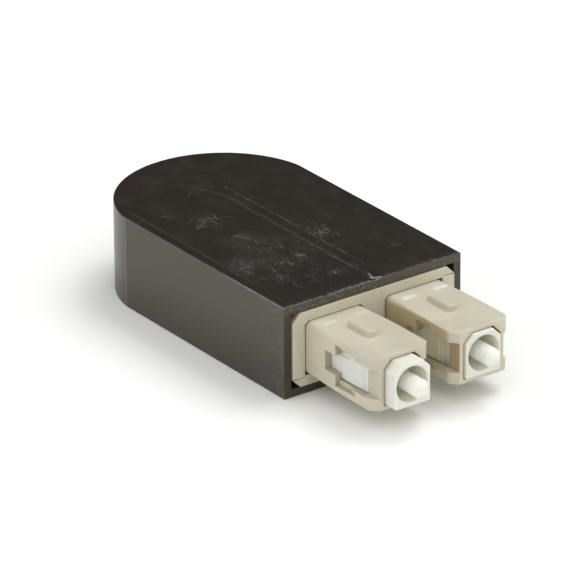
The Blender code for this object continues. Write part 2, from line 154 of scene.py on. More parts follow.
def shrink(pts, d):
    """Closed polygon moved inwards by d (outwards when negative), mitred."""
    n = len(pts)
    area = sum(pts[i][0] * pts[(i + 1) % n][1] - pts[(i + 1) % n][0] * pts[i][1] for i in range(n))
    sign = 1.0 if area > 0 else -1.0
    out = []
    for i in range(n):
        p, a, b = Vector(pts[i]), Vector(pts[i - 1]), Vector(pts[(i + 1) % n])
        u, v = (p - a).normalized(), (b - p).normalized()
        nu, nv = Vector((-u.y, u.x)) * sign, Vector((-v.y, v.x)) * sign
        m = nu + nv
        m = m / max(0.25, m.dot(nu))
        out.append(tuple(p + m * d))
    return out


def fillet(pts, r, steps=3):
    """Closed polygon with every corner turned into an arc of about radius r."""
    n = len(pts)
    out = []
    radii = r if isinstance(r, (list, tuple)) else [r] * n
    for i in range(n):
        p, a, b = Vector(pts[i]), Vector(pts[i - 1]), Vector(pts[(i + 1) % n])
        u, v = a - p, b - p
        lu, lv = u.length, v.length
        u, v = u / lu, v / lv
        half = u.angle(v) / 2
        cut = min(radii[i] / max(1e-6, math.tan(half)), 0.42 * lu, 0.42 * lv)
        s, e = p + u * cut, p + v * cut
        for k in range(steps + 1):
            t = k / steps
            q = s * (1 - t) ** 2 + p * (2 * t * (1 - t)) + e * t ** 2
            out.append(tuple(q))
    return out


def rim_rows(length0, length1, r0, r1, steps=4):
    """(position, inset) rows of a prism whose two rims are rounded by r0 and r1."""
    rows = [(length0 + r0 * (1 - math.cos(math.pi / 2 * k / steps)), r0 * (1 - math.sin(math.pi / 2 * k / steps)))
            for k in range(steps + 1)] if r0 > 0 else [(length0, 0.0)]
    tail = [(length1 - r1 * (1 - math.cos(math.pi / 2 * k / steps)), r1 * (1 - math.sin(math.pi / 2 * k / steps)))
            for k in range(steps + 1)] if r1 > 0 else [(length1, 0.0)]
    return rows + list(reversed(tail))


def soft_prism(pts, corner, lo, hi, rim_lo, rim_hi, place, steps=3):
    """Prism of a filleted polygon with rounded rims; place(u, v, t) gives the point."""
    rings = []
    for t, inset in rim_rows(lo, hi, rim_lo, rim_hi):
        flat = fillet(shrink(pts, inset), corner, steps)
        rings.append([place(u, v, t) for u, v in flat])
    return loft(rings)


def temp(bm, name="tmp"):
    me = bpy.data.meshes.new(name)
    bm.to_mesh(me)
    bm.free()
    ob = bpy.data.objects.new(name, me)
    COLL.objects.link(ob)
    return ob


def evaluated_mesh(ob):
    dg = bpy.context.evaluated_depsgraph_get()
    dg.update()
    me = bpy.data.meshes.new_from_object(ob.evaluated_get(dg))
    return me


def drop(ob):
    me = ob.data
    bpy.data.objects.remove(ob, do_unlink=True)
    if me.users == 0:
        bpy.data.meshes.remove(me)


def carve(base, ops):
    """Booleans on a bmesh in mm; returns a bmesh."""
    ob = temp(base, "base")
    for kind, tool in ops:
        t = temp(tool, "tool")
        mod = ob.modifiers.new("b", "BOOLEAN")
        mod.operation = kind
        mod.solver = "EXACT"
        mod.object = t
        me = evaluated_mesh(ob)
        old = ob.data
        ob.modifiers.clear()
        ob.data = me
        bpy.data.meshes.remove(old)
        drop(t)
    bm = bmesh.new()
    bm.from_mesh(ob.data)
    drop(ob)
    bmesh.ops.remove_doubles(bm, verts=bm.verts, dist=2e-4)
    bmesh.ops.dissolve_degenerate(bm, edges=bm.edges, dist=1e-4)
    return bm


def piece(name, bm, mats, body, nodes=(), angle=35.0, weighted=True, face_mat=None, across=None):
    """Finish a bmesh in mm as a piece of the object in the row frame."""
    bm.transform(TO_ROW)
    if face_mat:
        for f in bm.faces:
            f.material_index = face_mat(f)
    me = bpy.data.meshes.new(name)
    bm.to_mesh(me)
    bm.free()
    for m in (mats if isinstance(mats, (list, tuple)) else [mats]):
        me.materials.append(m)
    me.shade_smooth()
    me.set_sharp_from_angle(angle=math.radians(angle))
    ob = bpy.data.objects.new(name, me)
    COLL.objects.link(ob)
    if weighted:
        mod = ob.modifiers.new("normals", "WEIGHTED_NORMAL")
        mod.keep_sharp = True
        mod.weight = 60
    if across:
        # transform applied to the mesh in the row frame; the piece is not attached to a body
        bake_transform(ob)
    else:
        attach(ob, body)
    if nodes:
        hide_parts(*nodes)
    return ob


# ------------------------------------------------------------------ material helper
class Mat:
    """Small wrapper that wires a Principled material from maths on mm coordinates."""

    def __init__(self, name, rough=0.5, metallic=0.0, **sockets):
        self.m = bpy.data.materials.new(name)
        self.m.use_nodes = True
        self.t = self.m.node_tree
        self.p = self.t.nodes["Principled BSDF"]
        self.p.inputs["Roughness"].default_value = rough
        self.p.inputs["Metallic"].default_value = metallic
        for key, val in sockets.items():
            self.p.inputs[key.replace("_", " ")].default_value = val
        tc = self.node("ShaderNodeTexCoord")
        mul = self.node("ShaderNodeVectorMath", operation="MULTIPLY_ADD")
        self.link(tc.outputs["Object"], mul.inputs[0])
        mul.inputs[1].default_value = (1000.0, 1000.0, 1000.0)
        mul.inputs[2].default_value = (0.0, -FRONT_Y * 1000.0, 0.0)
        self.mm = mul.outputs[0]
        sep = self.node("ShaderNodeSeparateXYZ")
        self.link(self.mm, sep.inputs[0])
        self.x, self.y, self.z = sep.outputs
        sepn = self.node("ShaderNodeSeparateXYZ")
        self.link(tc.outputs["Normal"], sepn.inputs[0])
        self.nx, self.ny, self.nz = sepn.outputs

    def node(self, kind, **attrs):
        n = self.t.nodes.new(kind)
        for k, v in attrs.items():
            setattr(n, k, v)
        return n

    def link(self, a, b):
        self.t.links.new(a, b)

    def put(self, sock, val):
        if isinstance(val, bpy.types.NodeSocket):
            self.link(val, sock)
        else:
            sock.default_value = val

    def f(self, op, a, b=0.0, c=0.0, clamp=False):
        n = self.node("ShaderNodeMath", operation=op, use_clamp=clamp)
        self.put(n.inputs[0], a)
        self.put(n.inputs[1], b)
        self.put(n.inputs[2], c)
        return n.outputs[0]

    def step(self, val, lo, hi, out0=0.0, out1=1.0, smooth=True):
        n = self.node("ShaderNodeMapRange", clamp=True)
        n.interpolation_type = "SMOOTHSTEP" if smooth else "LINEAR"
        self.put(n.inputs["Value"], val)
        n.inputs["From Min"].default_value = lo
        n.inputs["From Max"].default_value = hi
        n.inputs["To Min"].default_value = out0
        n.inputs["To Max"].default_value = out1
        return n.outputs["Result"]

    def scaled(self, sx=1.0, sy=1.0, sz=1.0, turn=0.0, off=(0, 0, 0)):
        n = self.node("ShaderNodeMapping")
        self.link(self.mm, n.inputs["Vector"])
        n.inputs["Scale"].default_value = (sx, sy, sz)
        n.inputs["Rotation"].default_value = (0, 0, turn)
        n.inputs["Location"].default_value = off
        return n.outputs[0]

    def noise(self, scale, detail=3.0, rough=0.5, vec=None, distortion=0.0):
        n = self.node("ShaderNodeTexNoise")
        self.link(vec or self.mm, n.inputs["Vector"])
        n.inputs["Scale"].default_value = scale
        n.inputs["Detail"].default_value = detail
        n.inputs["Roughness"].default_value = rough
        n.inputs["Distortion"].default_value = distortion
        return n.outputs["Fac"]

    def voronoi(self, scale, feature="F1", vec=None, randomness=1.0):
        n = self.node("ShaderNodeTexVoronoi", feature=feature)
        self.link(vec or self.mm, n.inputs["Vector"])
        n.inputs["Scale"].default_value = scale
        n.inputs["Randomness"].default_value = randomness
        return n

    def mix(self, fac, a, b, mode="MIX"):
        n = self.node("ShaderNodeMix", data_type="RGBA", blend_type=mode)
        self.put(n.inputs["Factor"], fac)
        self.put(n.inputs["A"], (*a, 1.0) if isinstance(a, tuple) and len(a) == 3 else a)
        self.put(n.inputs["B"], (*b, 1.0) if isinstance(b, tuple) and len(b) == 3 else b)
        return n.outputs["Result"]

    def colour(self, c):
        self.put(self.p.inputs["Base Color"], c)

    def rough(self, r):
        self.put(self.p.inputs["Roughness"], r)

    def bump(self, height, strength=0.3, distance=0.00002):
        n = self.node("ShaderNodeBump")
        n.inputs["Strength"].default_value = strength
        n.inputs["Distance"].default_value = distance
        self.link(height, n.inputs["Height"])
        self.link(n.outputs[0], self.p.inputs["Normal"])

    def add(self, *vals):
        out = vals[0]
        for v in vals[1:]:
            out = self.f("ADD", out, v)
        return out

    def mul(self, *vals):
        out = vals[0]
        for v in vals[1:]:
            out = self.f("MULTIPLY", out, v)
        return out

    def near(self, val, centre, half, soft):
        """1 within half of centre, falling to 0 over soft."""
        d = self.f("ABSOLUTE", self.f("SUBTRACT", val, centre))
        return self.step(d, half, half + soft, 1.0, 0.0)

    def blob(self, cx, cy, rx, ry, turn=0.0):
        """Soft elliptical patch on the XY plane."""
        c, s = math.cos(turn), math.sin(turn)
        dx = self.f("SUBTRACT", self.x, cx)
        dy = self.f("SUBTRACT", self.y, cy)
        u = self.f("DIVIDE", self.add(self.mul(dx, c), self.mul(dy, s)), rx)
        v = self.f("DIVIDE", self.f("SUBTRACT", self.mul(dy, c), self.mul(dx, s)), ry)
        r2 = self.add(self.mul(u, u), self.mul(v, v))
        return self.step(r2, 0.0, 1.0, 1.0, 0.0)

    def hairs(self, scale, width, turn=0.0, stretch=3.0, detail=2.0, off=(0, 0, 0)):
        """Fine curved hairlines: the zero level of a stretched noise."""
        v = self.scaled(1.0, 1.0 / stretch, 1.0, turn, off)
        n = self.noise(scale, detail, 0.45, v)
        d = self.f("ABSOLUTE", self.f("SUBTRACT", n, 0.5))
        return self.step(d, 0.0, width, 1.0, 0.0)

    def specks(self, scale, radius, keep, off=(0, 0, 0), sx=1.0, sy=1.0, turn=0.0):
        """Scattered small dots; keep is the share of cells that have one."""
        v = self.scaled(sx, sy, 1.0, turn, off)
        n = self.voronoi(scale, vec=v)
        dot = self.step(n.outputs["Distance"], radius * 0.35, radius, 1.0, 0.0)
        sep = self.node("ShaderNodeSeparateColor")
        self.link(n.outputs["Color"], sep.inputs[0])
        chosen = self.f("LESS_THAN", sep.outputs[0], keep)
        return self.mul(dot, chosen, self.step(sep.outputs[1], 0.0, 1.0, 0.4, 1.0))


    def flat(self, wobble=0.0, scale=0.8, off=(0, 0, 0)):
        """Position with Z dropped, wavered a little so that strokes are not ruled lines."""
        n = self.node("ShaderNodeVectorMath", operation="MULTIPLY")
        self.link(self.mm, n.inputs[0])
        n.inputs[1].default_value = (1.0, 1.0, 0.0)
        if not wobble:
            return n.outputs[0]
        t = self.node("ShaderNodeTexNoise")
        self.link(self.scaled(1, 1, 1, 0, off), t.inputs["Vector"])
        t.inputs["Scale"].default_value = scale
        t.inputs["Detail"].default_value = 2.0
        v = self.node("ShaderNodeVectorMath", operation="MULTIPLY_ADD")
        self.link(t.outputs["Color"], v.inputs[0])
        v.inputs[1].default_value = (wobble, wobble, 0.0)
        self.link(n.outputs[0], v.inputs[2])
        w = self.node("ShaderNodeVectorMath", operation="SUBTRACT")
        self.link(v.outputs[0], w.inputs[0])
        w.inputs[1].default_value = (wobble / 2, wobble / 2, 0.0)
        return w.outputs[0]

    def stroke(self, vec, x0, y0, x1, y1, half=0.02, soft=0.08):
        """1 along the segment from (x0, y0) to (x1, y1), 0 away from it."""
        length = math.hypot(x1 - x0, y1 - y0)
        ux, uy = (x1 - x0) / length, (y1 - y0) / length
        p = self.node("ShaderNodeVectorMath", operation="SUBTRACT")
        self.link(vec, p.inputs[0])
        p.inputs[1].default_value = (x0, y0, 0.0)
        d = self.node("ShaderNodeVectorMath", operation="DOT_PRODUCT")
        self.link(p.outputs[0], d.inputs[0])
        d.inputs[1].default_value = (ux, uy, 0.0)
        c = self.node("ShaderNodeClamp")
        self.link(d.outputs["Value"], c.inputs["Value"])
        c.inputs["Min"].default_value = 0.0
        c.inputs["Max"].default_value = length
        k = self.node("ShaderNodeVectorMath", operation="SCALE")
        k.inputs[0].default_value = (ux, uy, 0.0)
        self.link(c.outputs[0], k.inputs["Scale"])
        e = self.node("ShaderNodeVectorMath", operation="SUBTRACT")
        self.link(p.outputs[0], e.inputs[0])
        self.link(k.outputs[0], e.inputs[1])
        r = self.node("ShaderNodeVectorMath", operation="LENGTH")
        self.link(e.outputs[0], r.inputs[0])
        return self.step(r.outputs["Value"], half, half + soft, 1.0, 0.0)

    def strokes(self, vec, items):
        """Strongest of many (x0, y0, x1, y1, weight, half, soft) strokes."""
        out = None
        for x0, y0, x1, y1, weight, half, soft in items:
            one = self.mul(self.stroke(vec, x0, y0, x1, y1, half, soft), weight)
            out = one if out is None else self.f("MAXIMUM", out, one)
        return out


# ------------------------------------------------------------------ materials
SCRATCHES = [
    (-3.74, 35.35, -2.81, 35.93, 0.6), (-6.25, 21.71, -5.18, 19.85, 0.8), (-8.73, 26.37, -6.66, 27.27, 0.9),
    (-6.73, 28.37, -4.67, 27.66, 0.8), (-7.99, 27.21, -7.30, 25.99, 0.9), (-5.50, 28.49, -5.70, 25.83, 0.8),
    (4.04, 38.12, 3.97, 38.00, 1.0), (4.05, 37.02, 4.02, 36.88, 0.8), (2.02, 34.95, 2.00, 34.72, 1.0),
    (-10.15, 32.37, -9.20, 31.30, 0.55), (-3.48, 27.32, -2.81, 26.46, 0.7), (-2.88, 16.37, -3.31, 14.62, 0.6),
    (-4.26, 28.62, -4.89, 27.26, 0.7), (8.77, 6.83, 9.77, 6.84, 0.5), (2.92, 18.13, 2.79, 14.63, 0.8),
    (2.73, 15.88, 4.12, 15.42, 0.8), (4.78, 17.31, 4.72, 15.56, 0.9), (2.35, 14.37, 4.81, 16.69, 0.6),
    (-3.26, 12.11, -2.46, 11.21, 0.9), (-5.94, 11.78, -4.95, 10.15, 0.7), (-8.01, 11.60, -8.33, 9.51, 0.7),
    (-8.73, 8.65, -9.00, 7.70, 0.8), (-9.00, 7.70, -9.14, 6.93, 0.7), (-11.14, 9.31, -10.63, 8.35, 0.8),
    (-6.07, 21.95, -5.35, 19.91, 0.6), (5.59, 3.64, 6.35, 3.65, 0.4), (-2.73, 5.27, -2.25, 4.61, 0.9),
    (-8.66, 5.13, -8.43, 3.80, 0.7), (-3.82, 16.66, -3.28, 15.07, 0.6), (0.03, 9.61, 0.40, 8.15, 0.5),
    (4.93, 14.20, 4.82, 13.39, 0.8), (3.45, 16.20, 3.95, 15.10, 1.0), (3.20, 15.20, 3.75, 16.40, 0.9),
    (-2.95, 12.35, -2.55, 11.25, 0.8), (-6.70, 28.60, -6.05, 27.20, 0.9), (-7.10, 27.40, -5.90, 28.30, 0.8),
    (-2.50, 5.20, -2.20, 4.80, 0.9), (8.30, 7.05, 8.65, 6.95, 0.7), (2.20, 5.10, 2.24, 4.94, 1.0),
    (-10.60, 14.40, -9.80, 12.60, 0.6), (-11.40, 12.60, -10.90, 11.20, 0.6), (-4.60, 19.20, -5.20, 17.60, 0.6),
]


def shell_material():
    m = Mat("shell_moulded_dark_brown", rough=0.42, IOR=1.49)
    top = m.step(m.nz, 0.75, 0.95)
    front = m.step(m.ny, -0.6, -0.9)
    slow = m.noise(0.09, 3.0, 0.55)
    fine = m.noise(1.3, 4.0, 0.6)
    base = m.mix(m.step(slow, 0.3, 0.7), (0.0125, 0.0080, 0.0036), (0.0165, 0.0113, 0.0062))
    base = m.mix(m.mul(fine, 0.35), base, (0.022, 0.017, 0.012))
    side = m.f("SUBTRACT", 1.0, top)
    # painted light and shade: the sides are painted a shade lighter and browner than the top, and darker towards the
    # bottom and front
    low = m.step(m.add(m.z, m.mul(m.y, 0.35)), 2.0, 13.0)
    base = m.mix(m.mul(side, 0.85), base, m.mix(low, (0.0330, 0.0248, 0.0140), (0.0465, 0.0368, 0.0222)))
    # flow bands: a soft band down the middle of the top, curling away at the back
    bend = m.mul(m.step(m.y, 31.0, 40.0), m.step(m.y, 31.0, 40.0), -3.6)
    wander = m.mul(m.f("SUBTRACT", m.noise(0.16, 1.0, 0.4, m.scaled(0.0, 1.0, 0.0)), 0.5), 1.2)
    band_x = m.add(0.45, bend, wander)
    dist = m.f("ABSOLUTE", m.f("SUBTRACT", m.x, band_x))
    band = m.mul(m.step(dist, 0.05, 0.42, 1.0, 0.0), m.step(m.y, 2.0, 10.0, 0.35, 1.0),
                 m.step(m.y, 36.0, 41.0, 1.0, 0.0))
    # a thin bright line beside it, and a thin one that runs to the nick
    way = m.flat(0.22, 0.5)
    wide = (0.015, 0.085)
    line_a = m.strokes(way, [(2.02, 34.9, 2.22, 24.0, 0.75, *wide), (2.22, 24.0, 2.20, 13.5, 1.0, *wide), (2.20, 13.5, 2.22, 6.1, 0.9, *wide)])
    line_b = m.strokes(way, [(0.36, 9.0, 0.72, 2.0, 0.6, *wide)])
    nick_marks = m.strokes(m.flat(0.10, 2.0), [(0.80, 2.0, 0.51, 0.75, 0.9, 0.03, 0.12), (0.45, 0.80, 0.95, 0.42, 1.0, 0.07, 0.14),
                                             (0.70, 0.62, 1.56, 0.30, 0.9, 0.04, 0.12), (0.20, 1.10, 0.62, 0.70, 0.7, 0.03, 0.10)])
    broken = m.step(m.noise(0.9, 5.0, 0.75), 0.40, 0.62, 0.15, 1.0)
    # sink line over the left side wall
    rim = m.mul(m.near(m.x, -12.62, 0.04, 0.20), m.step(m.y, 5.0, 16.0, 0.3, 1.0), m.step(m.y, 34.0, 38.5, 1.0, 0.0))
    rim_dark = m.mul(m.near(m.x, -13.25, 0.28, 0.25), m.step(m.y, 34.0, 38.5, 1.0, 0.0))
    back_line = m.mul(m.near(m.f("SUBTRACT", m.x, m.mul(m.f("SUBTRACT", m.y, 42.0), 0.05)), 2.35, 0.02, 0.09),
                      m.step(m.y, 41.0, 43.0), m.step(m.y, 44.5, 46.5, 1.0, 0.0))
    # handling marks, in patches
    patch = [
        (-6.6, 28.0, 3.4, 5.0, 0.2, 0.75), (-9.9, 13.6, 3.0, 4.4, 0.3, 1.0), (-5.6, 18.0, 5.0, 6.0, 0.0, 0.9),
        (-5.8, 8.0, 6.0, 8.0, 0.0, 1.0), (3.7, 17.0, 2.3, 4.0, 0.0, 1.0), (8.2, 17.5, 4.5, 6.5, 0.2, 0.12),
        (9.0, 7.0, 3.5, 4.0, 0.2, 0.10), (-2.0, 13.5, 3.5, 5.5, 0.0, 0.7), (-9.0, 33.5, 2.6, 4.0, 0.0, 0.35),
        (-3.0, 40.5, 6.5, 3.0, 0.0, 0.25), (1.4, 30.5, 1.4, 3.0, 0.0, 0.8),
    ]
    marks = 0.0
    for cx, cy, rx, ry, turn, w in patch:
        marks = m.f("ADD", marks, m.mul(m.blob(cx, cy, rx, ry, turn), w))
    marks = m.f("MINIMUM", marks, 1.3)
    clumps = m.step(m.noise(0.55, 3.0, 0.6), 0.42, 0.68)
    hair1 = m.hairs(0.75, 0.010, 0.9, 2.5, 3.0)
    hair2 = m.hairs(0.95, 0.008, -0.5, 2.0, 3.0, (7.0, 3.0, 1.0))
    hair3 = m.hairs(0.55, 0.007, 0.2, 4.0, 2.0, (-5.0, 9.0, 2.0))
    hairs = m.mul(m.f("MAXIMUM", m.f("MAXIMUM", hair1, hair2), hair3), clumps, marks,
                  m.step(m.noise(2.2, 3.0, 0.7), 0.42, 0.66))
    dots = m.f("MAXIMUM", m.specks(1.5, 0.17, 0.26), m.specks(2.8, 0.22, 0.17, (3.3, 1.2, 0)))
    dots = m.f("MAXIMUM", m.mul(dots, m.step(m.add(marks, 0.05), 0.05, 0.8)), m.mul(m.specks(0.60, 0.062, 0.34, (9, 4, 0)), 0.9))
    fine = m.mul(m.specks(1.05, 0.085, 0.26, (2, 9, 0)),
                 m.f("MINIMUM", m.add(m.blob(-4.0, 10.0, 13.0, 12.0), m.mul(m.blob(6.0, 20.0, 9.0, 14.0), 0.6), 0.10), 1.0))
    way2 = m.flat(0.30, 1.1, (4.0, 2.0, 0.0))
    grit = m.mul(m.f("MAXIMUM", m.specks(2.0, 0.15, 0.34, (5, 5, 0), 1.0, 0.55, 0.9), m.specks(1.2, 0.10, 0.30, (1, 8, 0), 1.0, 0.5, -0.6)),
                 m.f("MINIMUM", m.add(m.blob(-5.5, 9.0, 7.0, 8.0), m.blob(-2.0, 17.0, 6.0, 7.0), m.mul(m.blob(6.5, 12.0, 6.0, 9.0), 0.35),
                                      m.mul(m.blob(-4.0, 26.0, 6.0, 5.0), 0.5)), 1.0))
    cuts = m.mul(m.strokes(way2, [(a, b, c, d, w, 0.02, 0.085) for a, b, c, d, w in SCRATCHES]),
                 m.step(m.noise(1.9, 4.0, 0.7), 0.36, 0.60, 0.25, 1.0))
    # small clumps of fine hatching where it was rubbed
    hatch = m.mul(m.f("MAXIMUM", m.hairs(1.5, 0.022, 1.05, 3.0, 3.0, (1, 6, 2)), m.hairs(1.7, 0.020, 0.35, 2.5, 3.0, (8, 2, 5))),
                  m.f("MINIMUM", m.add(m.mul(m.blob(-6.9, 27.6, 2.6, 2.1), 0.62), m.mul(m.blob(3.6, 15.9, 1.8, 2.3), 0.72), m.blob(-2.8, 11.8, 1.2, 1.3),
                                       m.blob(-9.2, 8.0, 1.4, 2.0), m.blob(-2.4, 5.0, 1.2, 1.0), m.blob(-5.6, 20.6, 1.8, 1.6),
                                       m.blob(-5.6, 11.2, 1.6, 1.8), m.mul(m.blob(-7.5, 15.0, 4.5, 4.0), 0.35)), 1.0),
                  m.step(m.noise(2.4, 4.0, 0.7), 0.38, 0.62))
    haze = m.mul(m.step(m.noise(0.9, 5.0, 0.62, m.scaled(1.0, 0.6, 1.0, 0.5)), 0.46, 0.72), marks)
    smear = m.mul(m.blob(-11.0, 13.0, 2.2, 3.6, -0.35), m.step(m.noise(1.2, 5.0, 0.65), 0.38, 0.62))
    streaks = m.mul(m.step(m.noise(1.1, 3.0, 0.55, m.scaled(2.4, 0.22, 1.0, 0.1)), 0.55, 0.75),
                    m.blob(-6.4, 27.5, 3.0, 5.5), 0.8)
    # the moulding is unevenly dull: faint clouds, and cleaner and darker near the middle of the mouth
    cloud = m.step(m.noise(0.42, 5.0, 0.62, m.scaled(1.0, 0.7, 1.0, 0.3)), 0.44, 0.70)
    clean = m.f("MINIMUM", m.add(m.blob(-3.5, 4.5, 8.5, 6.0), m.mul(m.blob(0.5, 30.0, 8.0, 9.0), 0.42)), 1.0)
    # colour of the marks on the top
    c = m.mix(m.mul(top, clean, 0.34), base, (0.006, 0.005, 0.004))
    c = m.mix(m.mul(top, cloud, 0.10), c, (0.085, 0.080, 0.074))
    c = m.mix(m.mul(top, rim_dark, 0.30), c, (0.012, 0.010, 0.008))
    c = m.mix(m.mul(top, band, 0.24), c, (0.085, 0.078, 0.069))
    c = m.mix(m.mul(top, rim, 0.26), c, (0.085, 0.078, 0.070))
    c = m.mix(m.mul(top, m.f("MINIMUM", m.add(m.mul(haze, 0.01), m.mul(smear, 0.20), m.mul(streaks, 0.07)), 1.0)),
              c, (0.145, 0.140, 0.142))
    c = m.mix(m.mul(top, m.f("MAXIMUM", m.mul(line_a, 0.46), m.mul(line_b, 0.5)), broken), c, (0.30, 0.28, 0.25))
    c = m.mix(m.mul(top, nick_marks, 0.55), c, (0.46, 0.45, 0.43))
    c = m.mix(m.mul(top, back_line, 0.3), c, (0.12, 0.11, 0.095))
    c = m.mix(m.mul(top, hairs, 0.34), c, (0.27, 0.26, 0.25))
    c = m.mix(m.mul(top, cuts, 0.34), c, (0.40, 0.39, 0.38))
    c = m.mix(m.mul(top, grit, 0.36), c, (0.36, 0.35, 0.34))
    c = m.mix(m.mul(top, hatch, 0.32), c, (0.34, 0.33, 0.33))
    c = m.mix(m.mul(top, dots, 0.55), c, (0.46, 0.44, 0.42))
    c = m.mix(m.mul(top, fine, 0.34), c, (0.32, 0.30, 0.28))
    # the sides are smooth with a few short scuffs
    s_hair = m.mul(side, m.hairs(0.35, 0.004, 1.4, 3.0, 2.0, (2, 5, 8)), m.step(m.noise(0.25, 2.0, 0.5), 0.52, 0.66))
    c = m.mix(m.mul(s_hair, 0.12), c, (0.14, 0.13, 0.115))
    s_dot = m.mul(side, m.specks(0.33, 0.045, 0.22, (1, 7, 5)))
    c = m.mix(m.mul(s_dot, 0.22), c, (0.22, 0.19, 0.16))
    # rubbed edges: lighter along the fillets, strongest near the mouth
    geo = m.node("ShaderNodeNewGeometry")
    edge = m.step(geo.outputs["Pointiness"], 0.515, 0.60)
    wear = m.step(m.noise(1.6, 5.0, 0.7), 0.40, 0.70)
    c = m.mix(m.mul(edge, wear, 0.25), c, (0.20, 0.185, 0.165))
    worn = m.mul(m.near(m.x, -14.02, 0.05, 0.07), m.step(m.z, 12.55, 12.66), m.step(m.y, 6.0, 20.0, 1.0, 0.25),
                 m.step(m.noise(1.3, 5.0, 0.75, m.scaled(1.0, 0.6, 1.0)), 0.34, 0.62, 0.2, 1.0))
    c = m.mix(m.mul(worn, 0.55), c, (0.26, 0.25, 0.235))
    # cut face of the mouth: greyer, with pale crumbs along its top run
    lip_top = m.mul(front, m.step(m.z, 11.5, 11.8))
    c = m.mix(m.mul(front, 0.45), c, (0.036, 0.031, 0.025))
    rough_run = m.mul(lip_top, m.step(m.x, -1.0, 3.5, 1.0, 0.22))
    crumbs = m.f("MAXIMUM", m.specks(2.6, 0.26, 0.30, (2, 2, 3)), m.specks(5.0, 0.26, 0.22, (6, 1, 2)))
    grain = m.step(m.noise(3.2, 5.0, 0.7, m.scaled(0.7, 1.0, 1.6)), 0.45, 0.72)
    c = m.mix(m.mul(lip_top, m.add(m.mul(grain, 0.35), 0.1)), c, (0.125, 0.120, 0.112))
    c = m.mix(m.mul(rough_run, crumbs, 0.95), c, (0.72, 0.70, 0.67))
    rim_top = m.mul(top, m.step(m.y, 0.7, 0.05), m.step(m.x, -2.0, 5.0, 1.0, 0.35))
    c = m.mix(m.mul(rim_top, m.step(m.noise(2.4, 4.0, 0.7), 0.40, 0.64), 0.5), c, (0.16, 0.15, 0.14))
    # painted highlight: a light line painted along the crease where the side turns into the round back; a warm flash
    # line underneath
    crease_highlight = m.mul(side, m.near(m.y, 34.9, 0.03, 0.12), m.step(m.f("ABSOLUTE", m.x), 13.7, 13.9))
    c = m.mix(m.mul(crease_highlight, 0.75), c, (0.20, 0.19, 0.165))
    flash = m.mul(m.step(m.z, 0.20, 0.06), m.step(m.nz, -0.95, -0.8), m.step(m.noise(0.8, 3.0, 0.6), 0.30, 0.60, 0.4, 1.0))
    c = m.mix(m.mul(flash, 0.50), c, (0.13, 0.095, 0.045))
    # painted glow: the walls inside the cap are painted a saturated orange-brown for light glowing through the brown
    # plastic
    ax = m.f("ABSOLUTE", m.x)
    cap_painted_glow = m.mul(m.step(ax, 13.06, 13.01), m.step(m.z, 1.10, 1.14), m.step(m.z, 11.70, 11.66), m.step(m.y, 0.01, 0.05),
                   m.step(m.y, 45.9, 45.7))
    c = m.mix(m.mul(cap_painted_glow, 0.85), c, (0.036, 0.021, 0.009))
    m.colour(c)
    r = m.add(0.32, m.mul(fine, 0.10), m.mul(top, 0.04), m.mul(hairs, 0.15), m.mul(haze, top, 0.12), m.mul(front, 0.15))
    m.rough(m.f("MINIMUM", r, 0.85))
    h = m.add(m.mul(m.noise(6.0, 3.0, 0.6), 0.5), m.mul(slow, 0.4), m.mul(hairs, top, -1.0), m.mul(cuts, top, -0.8),
              m.mul(line_a, top, 0.8), m.mul(m.noise(0.35, 2.0, 0.5), 1.4))
    m.bump(h, 0.16, 0.00006)
    return m.m


